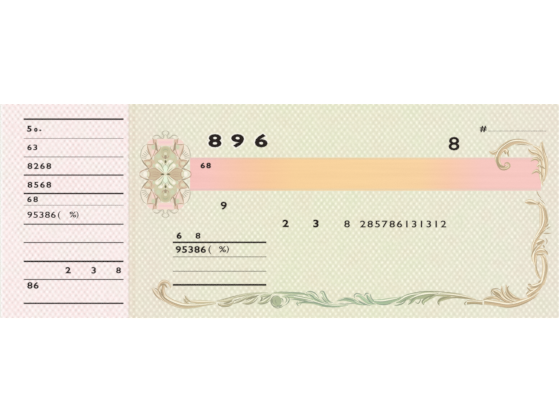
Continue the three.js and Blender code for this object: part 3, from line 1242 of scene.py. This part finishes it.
@dataclass(frozen=True)
class Patch:
    """A filled shape of the rosette, by its corners or by the places that its edge runs through."""

    points: tuple[Point, ...]
    curved: bool = True
    mirror: Mirror = Mirror.ALL
    spans: int = 3

    def draw(self, ink: Print, place: Placer) -> None:
        """Adds one image of the shape to an ink."""
        loop = [place(point) for point in self.points]
        ink.patch(smooth(loop, closed=True, spans=self.spans) if self.curved else loop)


@dataclass(frozen=True)
class Spot:
    """An oval spot of the rosette: its middle, its radius sideways and its height to width."""

    middle: Point
    radius: float
    squeeze: float = 1.0
    mirror: Mirror = Mirror.ALL

    def draw(self, ink: Print, place: Placer) -> None:
        """Adds one image of the spot to an ink."""
        ink.disc(place(self.middle), self.radius, self.squeeze)


@dataclass(frozen=True)
class Line:
    """A pen line of the rosette."""

    points: tuple[Point, ...]
    width: float
    mirror: Mirror = Mirror.ALL

    def draw(self, ink: Print, place: Placer) -> None:
        """Adds one image of the line to an ink."""
        ink.stroke(pen(self.width, *(place(point) for point in self.points)))


@dataclass(frozen=True)
class Spray:
    """A fan of fine lines from one point: their reach in mm, and their angles up from the left."""

    hub: Point
    near: float
    far: float
    first: float
    last: float
    count: int
    width: float
    mirror: Mirror = Mirror.ALL

    def draw(self, ink: Print, place: Placer) -> None:
        """Adds one image of the fan to an ink.

        Args:
            ink: the ink.
            place: what puts a place of the image on the page.
        """
        for i in range(self.count):
            turn = math.radians(self.first + (self.last - self.first) * i / (self.count - 1))
            ends = [
                (self.hub[0] - math.cos(turn) * reach, self.hub[1] - math.sin(turn) * reach)
                for reach in (self.near, self.far)
            ]
            ink.stroke(pen(self.width, *(place(end) for end in ends), tips=Tips.NONE))


@dataclass(frozen=True)
class RosetteInk:
    """What one ink prints of the rosette, and how many ink steps above the paper it lies."""

    what: str
    tone: InkTone
    layer: float
    shapes: tuple[Union[Patch, Spot, Line, Spray], ...]


def across(half: tuple[Point, ...]) -> tuple[Point, ...]:
    """Closes a half outline with its mirror image sideways."""
    return half + tuple((-x, y) for x, y in reversed(half) if x)


def down(half: tuple[Point, ...]) -> tuple[Point, ...]:
    """Closes a half outline with its mirror image upside down."""
    return half + tuple((x, -y) for x, y in reversed(half) if y)


def arc(middle: Point, radius: float, start: float, end: float) -> tuple[Point, ...]:
    """Gives places along an arc.

    Args:
        middle: its middle.
        radius: its radius.
        start: its first angle in degrees, down from the right.
        end: its last angle.

    Returns:
        The places.
    """
    places = []
    for i in range(ARC_STEPS + 1):
        turn = math.radians(start + (end - start) * i / ARC_STEPS)
        places.append((middle[0] + radius * math.cos(turn), middle[1] + radius * math.sin(turn)))
    return tuple(places)


# The rosette's outlines, in mm from its middle. Each is drawn in the quarter up and to the left,
# but for the whole ground and for those that it has once at each end or side.
OVAL = down(
    across(((4.9, 0.0), (5.1, -3.6), (4.7, -6.3), (3.4, -8.9), (2.3, -10.6), (0.9, -11.5)))
)
FAN = ((-5.8, -12.3), (-7.5, -12.2), (-9.2, -10.8), (-9.9, -8.2), (-9.6, -5.8), (-5.9, -6.2))
SIDE_LEAF = ((-9.1, -5.6), (-5.7, -6.4), (-4.3, -5.2), (-4.2, -3.0), (-7.0, -2.3))
INNER_LEAF = (
    (-5.6, -6.4), (-7.1, -9.9), (-7.6, -12.2), (-3.4, -12.2), (-2.3, -11.5), (-3.0, -9.3)
)
TABLET = ((-3.5, -14.5), (3.5, -14.5), (2.9, -11.7), (-2.9, -11.7))
BRACKET = ((-7.6, -12.6), (-7.0, -13.6), (-5.9, -14.2), (-5.0, -13.8), (-5.0, -12.5))
STRUT = ((-5.0, -14.3), (-3.6, -14.3), (-3.4, -12.1), (-4.9, -12.2))
PETAL = down(((-0.5, 0.0), (-2.0, -1.1), (-3.9, -1.9), (-6.0, -2.2), (-7.2, -1.6), (-7.6, 0.0)))
STRIPE = ((-2.7, -13.5), (2.7, -13.5), (2.5, -12.6), (-2.5, -12.6))
LOW_RAY = (
    (0.0, -0.1), (-1.4, -0.7), (-2.8, -1.8), (-3.9, -2.7), (-4.3, -3.6), (-3.6, -4.4),
    (-2.7, -4.1), (-1.4, -2.6), (-0.5, -1.2),
)
HIGH_RAY = (
    (-0.1, -0.6), (-0.9, -2.2), (-1.5, -3.7), (-2.4, -4.6), (-3.1, -5.2), (-2.6, -5.8),
    (-1.6, -5.8), (-0.7, -4.9), (-0.3, -3.0),
)
PEAK = ((-0.6, -14.4), (0.0, -16.0), (0.6, -14.4))
CORE = across(((0.0, -0.6), (0.8, -2.0), (0.75, -3.3), (0.0, -4.3)))

ROSETTE_INKS = (
    RosetteInk("ground", InkTone.OLIVE, 2.0, (Patch(OVAL, mirror=Mirror.NONE),)),
    RosetteInk("fans", InkTone.CREAM, 2.4, (Patch(FAN),)),
    RosetteInk("leaves", InkTone.LEAF, 3.0, (Patch(SIDE_LEAF, curved=False),)),
    RosetteInk("inner_leaves", InkTone.PEACH, 3.0, (Patch(INNER_LEAF, curved=False),)),
    RosetteInk(
        "tablets",
        InkTone.PINK,
        3.4,
        (
            Patch(TABLET, curved=False, mirror=Mirror.ENDS),
            Patch(BRACKET, curved=False),
            Spot((-4.9, -8.9), 0.8, 1.3),
        ),
    ),
    RosetteInk("struts", InkTone.SAND, 3.6, (Patch(STRUT, curved=False),)),
    RosetteInk("hearts", InkTone.GREEN, 3.8, (Spot((0.0, -9.3), 1.9, mirror=Mirror.ENDS),)),
    RosetteInk("petals", InkTone.TAN, 4.0, (Patch(PETAL, mirror=Mirror.SIDES),)),
    RosetteInk(
        "moss",
        InkTone.MOSS,
        4.6,
        (
            Spot((-2.9, -7.4), 0.85, 1.1),
            Spot((-5.0, -11.1), 0.75, 1.2),
            Spot((-4.8, -3.5), 0.5, 1.5),
        ),
    ),
    RosetteInk(
        "glints",
        InkTone.GLINT,
        5.2,
        (
            Spot((0.0, -8.4), 0.62, mirror=Mirror.ENDS),
            Spot((-7.2, -4.4), 0.85, 0.8),
            Spot((-7.0, 0.0), 0.65, 1.6, Mirror.SIDES),
            Spot((0.0, -6.0), 0.55, 0.8, Mirror.ENDS),
        ),
    ),
    RosetteInk("stripes", InkTone.ROSE, 5.4, (Patch(STRIPE, curved=False, mirror=Mirror.ENDS),)),
    RosetteInk(
        "star",
        InkTone.STAR,
        6.0,
        (Patch(LOW_RAY), Patch(HIGH_RAY), Patch(PEAK, curved=False, mirror=Mirror.ENDS)),
    ),
    RosetteInk(
        "star_tips",
        InkTone.WHITE,
        8.0,
        (
            Spot((-3.4, -3.6), 0.5),
            Spot((-1.8, -5.2), 0.45, 1.2),
            Spot((-8.3, 0.0), 0.75, 1.5, Mirror.SIDES),
        ),
    ),
    RosetteInk("core", InkTone.MINT, 9.5, (Patch(CORE, mirror=Mirror.ENDS),)),
    RosetteInk(
        "hatching",
        InkTone.GREY,
        10.0,
        (
            Spray((-5.7, -6.3), 2.2, 4.1, 6.0, 72.0, 6, 0.3),
            Line(((-5.1, -15.2), (-4.2, -15.9), (-3.0, -15.9), (-2.1, -15.2), (-1.2, -15.1)), 0.42),
            Line(((-1.2, -15.1), (-0.9, -16.0), (-1.4, -16.9), (-0.8, -17.6), (0.0, -17.8)), 0.42),
            Line(((-3.7, -14.7), (-2.4, -14.8), (-1.0, -14.7), (-0.6, -15.6), (0.0, -16.5)), 0.32),
            Line(((-7.6, -12.4), (-9.1, -11.2), (-10.0, -9.2), (-10.1, -7.2), (-9.7, -5.8)), 0.36),
            Line(((0.5, -3.2), (0.0, -4.1), (-0.5, -3.2)), 0.34, Mirror.ENDS),
        ),
    ),
    RosetteInk(
        "outlines",
        InkTone.BROWN,
        11.0,
        (
            Line(((-5.3, -14.9), (-5.0, -13.9), (-5.0, -12.6)), 0.4),
            Line(((-7.8, -12.3), (-6.2, -12.1), (-4.4, -12.3)), 0.42),
            Line(((-7.5, -12.1), (-7.1, -10.0), (-6.4, -8.2), (-5.8, -6.7)), 0.6),
            Line(((-4.1, -11.9), (-4.2, -10.0), (-4.8, -8.2), (-5.5, -6.7)), 0.34),
            Line(((-9.0, -5.6), (-7.6, -5.8), (-6.4, -5.7), (-5.7, -6.5)), 0.44),
            Line(((-2.1, -11.6), (-2.3, -10.2), (-3.2, -9.1), (-4.2, -8.1), (-4.6, -6.6)), 0.4),
            Line(((-6.6, -2.1), (-4.6, -2.4), (-3.0, -1.6), (-1.7, -0.5)), 0.4),
            Line(((-10.7, 0.0), (-10.2, -0.9), (-9.1, -1.6), (-7.8, -2.0)), 0.42),
            Line(((-5.9, -5.4), (-5.6, -4.0), (-6.6, -2.6)), 0.3),
            Line(arc((-9.0, 0.0), 2.7, -42.0, 42.0), 0.42, Mirror.SIDES),
            Line(((-6.0, -0.7), (-4.0, -0.9), (-2.4, -0.4)), 0.26),
            Line(((-5.6, 0.0), (-4.0, 0.0), (-2.2, 0.0)), 0.3, Mirror.SIDES),
            Line(((-1.5, -7.9), (-1.1, -7.0), (-0.3, -6.4)), 0.36),
        ),
    ),
    RosetteInk(
        "shadows",
        InkTone.UMBER,
        11.6,
        (
            Line(((-4.3, -13.2), (-3.9, -11.8), (-3.7, -10.4), (-3.0, -9.2)), 0.9),
            Line(((-9.8, -6.2), (-9.1, -4.9), (-8.1, -3.7), (-6.9, -2.3)), 0.55),
            Line(((-8.9, -1.7), (-7.7, -2.1), (-6.5, -2.2)), 0.5),
            Spot((0.0, -7.0), 0.5, 1.7, Mirror.ENDS),
            Spot((-5.8, -6.5), 0.35),
        ),
    ),
    RosetteInk(
        "green_lines",
        InkTone.SAGE,
        12.0,
        (
            Line(((-0.7, -1.2), (-1.2, -2.5), (-1.7, -3.7), (-2.4, -4.4), (-3.4, -5.3)), 0.46),
            Line(((-0.5, -0.4), (-1.9, -1.7), (-3.2, -2.8)), 0.26),
            Line(((-0.8, -2.6), (-1.0, -3.8), (-1.6, -4.8)), 0.22),
            Line(arc((0.0, -9.1), 1.1, 200.0, 340.0), 0.3, Mirror.ENDS),
        ),
    ),
    RosetteInk(
        "points",
        InkTone.DARK,
        18.0,
        (
            Line(((-0.5, 0.0), (-1.1, 0.05), (-2.1, 0.0)), 0.7, Mirror.SIDES),
            Line(((0.0, -4.5), (0.03, -5.1), (0.0, -5.8)), 0.8, Mirror.ENDS),
        ),
    ),
)


@dataclass(frozen=True)
class Rosette:
    """The engraved rosette at the left of the receipt, from a quarter and its mirror images."""

    page: Page
    middle: Point = (67.5, 28.9)

    def placer(self, flip: Point) -> Placer:
        """Gives the function that puts a place of one mirror image on the page.

        Args:
            flip: the image's signs for x and y.

        Returns:
            The function.
        """

        def place(point: Point) -> Point:
            """Mirrors one place and measures it from the page's corner."""
            return (self.middle[0] + flip[0] * point[0], self.middle[1] + flip[1] * point[1])

        return place

    def draw(self, part: RosetteInk) -> Print:
        """Gathers everything that one ink prints.

        Args:
            part: the ink's share of the rosette.

        Returns:
            The print.
        """
        ink = Print(self.page, part.layer)
        for shape in part.shapes:
            for flip in shape.mirror.value:
                shape.draw(ink, self.placer(flip))
        return ink


@dataclass(frozen=True)
class ScrollPass:
    """How one ink lies across each frond of the scroll.

    Its ribbon is a share of the frond's width, plus some mm, leans towards the frond's shaded
    side by so many half widths, and is left out of fronds that are narrower than the least. The
    ball is the radius of the scroll's ball in this ink, if it has one.
    """

    what: str
    tone: InkTone
    layer: float
    share: float = 1.0
    wider: float = 0.0
    lean: float = 0.0
    least: float = 0.0
    ball: float = 0.0

    def stroke(self, ink: Print, frond: Stroke) -> None:
        """Adds one frond to this ink, if it is wide enough.

        Args:
            ink: the print of this ink.
            frond: the frond, at its full width.
        """
        if frond.width >= self.least:
            width = frond.width * self.share + self.wider
            ink.stroke(replace(frond, width=width), self.lean * frond.width / 2)


@dataclass
class Leaf:
    """One printed leaf: its paper, and everything that is printed on its upper face.

    Places and sizes are in page millimetres. The layers are ink steps above the paper. The number's
    dotted line is a rule cut into dots of a length at every step.
    """

    page: Page
    inks: dict[InkTone, bpy.types.Material]
    face: Typeface
    stub_layer: float = 3.0
    band: Rule = Rule(77.6, 221.6, 28.885, 13.53)
    band_layer: float = 1.0
    edges: tuple[Rule, ...] = (Rule(77.6, 221.6, 22.6, 0.6), Rule(77.6, 221.6, 35.1, 0.6))
    edge_layer: float = 1.6
    passes: tuple[ScrollPass, ...] = (
        ScrollPass("scroll_rim", InkTone.RIM, 2.0, wider=0.42, ball=2.0),
        ScrollPass("scroll_body", InkTone.BODY, 6.0, wider=-0.12),
        ScrollPass("scroll_shade", InkTone.SHADE, 10.0, share=0.42, lean=0.5),
        ScrollPass("scroll_light", InkTone.LIGHT, 12.0, share=0.2, lean=-0.55, least=1.0),
        ScrollPass("scroll_vein", InkTone.LINE, 13.0, share=0.08, wider=0.1, lean=-0.1, least=1.2),
    )
    line_layer: float = 14.0
    ball: Point = (113.2, 81.0)
    ball_squeeze: float = 1.02
    title: tuple[Label, ...] = (
        Label("8", 84.8, 12.7, 90.8, 17.6, Weight.BOLD, 1.5),
        Label("9", 94.1, 12.7, 100.1, 17.6, Weight.BOLD, 1.5),
        Label("6", 103.8, 12.7, 109.8, 17.6, Weight.BOLD, 1.5),
    )
    halo_layer: float = 15.0
    text_layer: float = 16.0
    dotted: Rule = Rule(199.9, 223.9, 11.2, 0.2)
    dot_step: float = 0.5
    dot_length: float = 0.28

    def on_receipt(self, ink: Print, what: str, tone: InkTone) -> bpy.types.Object:
        """Finishes an ink that is printed on the receipt."""
        return ink.piece(self.page.name(what), self.inks[tone], self.page.receipt_body)

    def print_stub(self) -> bpy.types.Object:
        """Prints the stub's ruled fields.

        Returns:
            Their piece.
        """
        ink = Print(self.page, self.stub_layer)
        for rule in STUB_RULES:
            ink.rule(rule)
        for label in STUB_LABELS:
            ink.figures(label, self.face)
        return ink.piece(self.page.name("stub_text"), self.inks[InkTone.BLACK], self.page.stub_body)

    def print_band(self) -> list[bpy.types.Object]:
        """Prints the amount field's colour band and its two edges.

        Returns:
            Their pieces.
        """
        ground = Print(self.page, self.band_layer)
        ground.rule(self.band)
        edges = Print(self.page, self.edge_layer)
        for edge in self.edges:
            edges.rule(edge)
        return [
            self.on_receipt(ground, "band", InkTone.BAND),
            self.on_receipt(edges, "band_edges", InkTone.EDGE),
        ]

    def print_scroll(self) -> list[bpy.types.Object]:
        """Prints the scroll ink by ink, as an engraver shades a leaf, and then its pen lines.

        Returns:
            Their pieces.
        """
        pieces = []
        for ink_pass in self.passes:
            ink = Print(self.page, ink_pass.layer)
            for frond in SCROLL_BODY:
                ink_pass.stroke(ink, frond)
            if ink_pass.ball > 0:
                ink.disc(self.ball, ink_pass.ball, self.ball_squeeze)
            pieces.append(self.on_receipt(ink, ink_pass.what, ink_pass.tone))
        lines = Print(self.page, self.line_layer)
        for stroke in SCROLL_LINE:
            lines.stroke(stroke)
        return [*pieces, self.on_receipt(lines, "scroll_line", InkTone.LINE)]

    def print_rosette(self) -> list[bpy.types.Object]:
        """Prints the rosette, an ink at a time.

        Returns:
            Its pieces.
        """
        rosette = Rosette(self.page)
        return [
            self.on_receipt(rosette.draw(part), f"rosette_{part.what}", part.tone)
            for part in ROSETTE_INKS
        ]

    def print_receipt(self) -> list[bpy.types.Object]:
        """Prints the receipt's title, rules, labels and the dotted line for its number.

        Returns:
            The title's halo and the black print.
        """
        halo = Print(self.page, self.halo_layer)
        ink = Print(self.page, self.text_layer)
        for label in self.title:
            ink.figures(label, self.face)
            halo.figures(replace(label, weight=Weight.HALO), self.face)
        for rule in RECEIPT_RULES:
            ink.rule(rule)
        for label in RECEIPT_LABELS:
            ink.figures(label, self.face)
        for i in range(int((self.dotted.end - self.dotted.start) / self.dot_step)):
            start = self.dotted.start + self.dot_step * i
            ink.rule(replace(self.dotted, start=start, end=start + self.dot_length))
        return [
            self.on_receipt(halo, "title_halo", InkTone.HALO),
            self.on_receipt(ink, "receipt_text", InkTone.BLACK),
        ]

    def build(self) -> list[bpy.types.Object]:
        """Dresses the leaf and prints it.

        Returns:
            The prints' pieces.
        """
        paper = LeafPaper(f"leaf_paper_{self.page.number}", face=self.page.face)
        dress(paper.material(), self.page.nodes)
        return [
            self.print_stub(),
            *self.print_band(),
            *self.print_scroll(),
            *self.print_rosette(),
            *self.print_receipt(),
        ]


@dataclass
class LeafBlock:
    """The forty-eight leaves below the second one: as many thin sheets, knocked up nearly flush.

    The stray is how far a sheet's edge may stand back from the block's side, in mm.
    """

    first: int = 3
    last: int = 50
    stray: float = 0.06
    seed: int = 50

    def build(self) -> list[bpy.types.Object]:
        """Builds the block in place of the plain CAD leaves.

        Returns:
            Its piece.
        """
        rng = random.Random(self.seed)
        mesh = bmesh.new()
        paper = BlockPaper().material()
        names = [f"leaf_{number:02d}" for number in range(self.first, self.last + 1)]
        for name in names:
            low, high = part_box(name)
            foot, top, right = (rng.uniform(0.0, self.stray) * MM for _ in range(3))
            add_box(mesh, low + Vector((0.0, foot, 0.0)), high - Vector((right, top, 0.0)))
        dress(paper, names)
        block = make_piece(mesh, "leaf_block", paper, "book")
        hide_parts(*names)
        return [block]


@dataclass
class Binding:
    """What holds the leaves: the back board, the glue on the spine and the cloth tape round it.

    The tape's soft middle arches from the spine to the cover's hinge strip. Its sizes are in mm:
    the cloth's thickness, and how far the arch rises. Its hollow rises by a share of that.
    """

    thickness: float = 0.22
    rise: float = 0.075
    hollow: float = 0.4

    def arch(self, tape: bpy.types.Material) -> bpy.types.Object:
        """Builds the tape's soft middle.

        Args:
            tape: its cloth.

        Returns:
            Its piece.
        """
        low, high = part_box("spine_tape")
        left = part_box("cover_tape_flap")[0].x
        right = low.x + self.thickness * MM
        middle = Vector(((left + right) / 2, high.z))
        outer = (right - left) / 2
        inner = outer - self.thickness * MM
        crown = self.rise * MM
        section = []
        for i in range(ARC_STEPS + 1):
            turn = math.pi * i / ARC_STEPS
            ray = Vector((math.cos(turn), math.sin(turn)))
            inside = Vector((ray.x * inner, ray.y * inner / outer * crown * self.hollow))
            section.append((middle + inside, middle + Vector((ray.x * outer, ray.y * crown))))
        mesh = bmesh.new()
        add_strip(mesh, section, low.y, high.y)
        arch = make_piece(mesh, "tape_arch", tape)
        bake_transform(arch)
        return arch

    def build(self) -> list[bpy.types.Object]:
        """Dresses the binding and builds the tape's arch.

        Returns:
            The arch.
        """
        tape = ClothTape().material()
        dress(Chipboard().material(), ("back_board",))
        dress(DriedGlue().material(), ("spine_glue",))
        dress(tape, ("spine_tape", "cover_tape_flap"))
        return [self.arch(tape)]


@dataclass
class Cover:
    """The card cover: its hinge strip, its panel and the scored corner between them.

    Sizes are shares of the card's thickness: how far the score's inner side keeps off its axis,
    and how far from it the bend starts and ends.
    """

    inside: float = 0.02
    bend: float = 0.7

    def score(self, card: bpy.types.Material) -> bpy.types.Object:
        """Builds the scored corner, from the hinge strip round to the panel.

        Args:
            card: its card.

        Returns:
            Its piece.
        """
        low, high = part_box("cover_hinge_strip")
        panel_low, panel_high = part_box("front_cover")
        axis = Vector((high.x, panel_high.z))
        thick = panel_high.z - panel_low.z
        near = self.inside * thick
        corner = []
        for i in range(ARC_STEPS + 1):
            turn = math.pi + math.pi / 2 * i / ARC_STEPS
            ray = Vector((math.cos(turn), math.sin(turn)))
            corner.append((axis + ray * near, axis + ray * thick))
        strip_end = (Vector((axis.x - near, low.z)), Vector((low.x, low.z)))
        panel_end = (Vector((panel_low.x, panel_high.z)), Vector((panel_low.x, panel_low.z)))
        mesh = bmesh.new()
        add_strip(mesh, [strip_end, *corner, panel_end], low.y, high.y)
        score = make_piece(mesh, "cover_score", card)
        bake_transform(score)
        return score

    def build(self) -> list[bpy.types.Object]:
        """Dresses the cover and builds its score.

        Returns:
            The score.
        """
        card = CoverCard().material()
        dress(card, ("cover_hinge_strip", "front_cover"))
        return [self.score(card)]


@dataclass
class Stage:
    """A white table under soft even light, seen from straight above by a long lens.

    The table's half width and its thickness are in metres and its gap below the book in mm. Angles
    are in degrees. The view is as wide as frame_width in mm and its middle is a little nearer the
    leaf's top edge. The sky gives its share of the light and a broad lamp at the upper left the
    rest.
    """

    page: Page
    half: float = 2.0
    thickness: float = 0.01
    gap: float = 0.02
    white: str = "FAFAFA"
    glow: float = 0.6
    sky_share: float = 0.62
    lamp_tilt: float = 16.0
    lamp_lean: Point = (0.8, 0.6)
    lamp_breadth: float = 30.0
    lens: float = 200.0
    sensor: float = 36.0
    frame_width: float = 229.8
    nearer_top: float = 0.39

    def table(self) -> bpy.types.Object:
        """Lays the white table top, which glows a little towards the camera and keeps its shadows.

        Returns:
            The table.
        """
        graph = Graph("table_white", "AddShader")
        white = graph.add("BsdfDiffuse", {"Color": linear(self.white)})
        rays = graph.add("LightPath").outputs
        mirrored = {0: rays["Is Glossy Ray"], 1: rays["Is Transmission Ray"]}
        seen = {0: rays["Is Camera Ray"], 1: graph.add("Math", mirrored, operation="MAXIMUM")}
        lift = {0: graph.add("Math", seen, operation="MAXIMUM"), 1: self.glow}
        glow = graph.add("Emission", {"Strength": graph.add("Math", lift, operation="MULTIPLY")})
        graph.feed(graph.shader, {0: white, 1: glow})
        mesh = bmesh.new()
        low = Vector((-self.half, -self.half, -self.thickness))
        add_box(mesh, low, Vector((self.half, self.half, -self.gap * MM)))
        table = make_piece(mesh, "table", graph.material)
        return table

    def sky(self) -> None:
        """Lights the scene evenly from all sides, so a flat colour renders as it is written."""
        world = bpy.data.worlds.new("sky")
        bpy.context.scene.world = world
        world.use_nodes = True
        background = world.node_tree.nodes["Background"]
        background.inputs["Color"].default_value = linear("FFFFFF")
        background.inputs["Strength"].default_value = self.sky_share

    def lamp(self) -> bpy.types.Object:
        """Adds a broad lamp high at the upper left, for the rest of the light.

        Returns:
            The lamp.
        """
        tilt = math.radians(self.lamp_tilt)
        lamp = bpy.data.lights.new("window", "SUN")
        lamp.energy = (1 - self.sky_share) * math.pi / math.cos(tilt)
        lamp.angle = math.radians(self.lamp_breadth)
        holder = bpy.data.objects.new("window", lamp)
        holder.rotation_euler = (-tilt * self.lamp_lean[0], -tilt * self.lamp_lean[1], 0.0)
        bpy.context.scene.collection.objects.link(holder)
        return holder

    def camera(self) -> bpy.types.Object:
        """Hangs the camera over the leaf.

        Returns:
            The camera.
        """
        data = bpy.data.cameras.new("camera")
        data.lens = self.lens
        data.sensor_width = self.sensor
        camera = bpy.data.objects.new("camera", data)
        x, y = self.page.place((LEAF_LENGTH / 2, LEAF_WIDTH / 2 - self.nearer_top))
        rise = self.frame_width * MM * self.lens / self.sensor
        camera.location = (x, y, self.page.face + rise)
        bpy.context.scene.collection.objects.link(camera)
        bpy.context.scene.camera = camera
        return camera

    def build(self) -> list[bpy.types.Object]:
        """Sets the stage.

        Returns:
            The table, the lamp and the camera.
        """
        self.sky()
        bpy.context.scene.view_settings.view_transform = "Standard"
        return [self.table(), self.lamp(), self.camera()]


def main() -> None:
    """Builds the book and its stage in order, and reports each piece."""
    logging.basicConfig(level=logging.INFO, format="%(name)s: %(message)s")
    first = Page(1, ("stub_01", "perforation_01", "receipt_01"), "first_stub", "first_receipt")
    second = Page(2, ("leaf_02",), "book", "book")
    inks = mix_inks()
    face = Typeface()
    leaves = [Leaf(page, inks, face) for page in (first, second)]
    for assembly in (*leaves, LeafBlock(), Binding(), Cover(), Stage(first)):
        for piece in assembly.build():
            LOG.info("%s: built %s", type(assembly).__name__, piece.name)


if __name__ == "__main__":
    main()
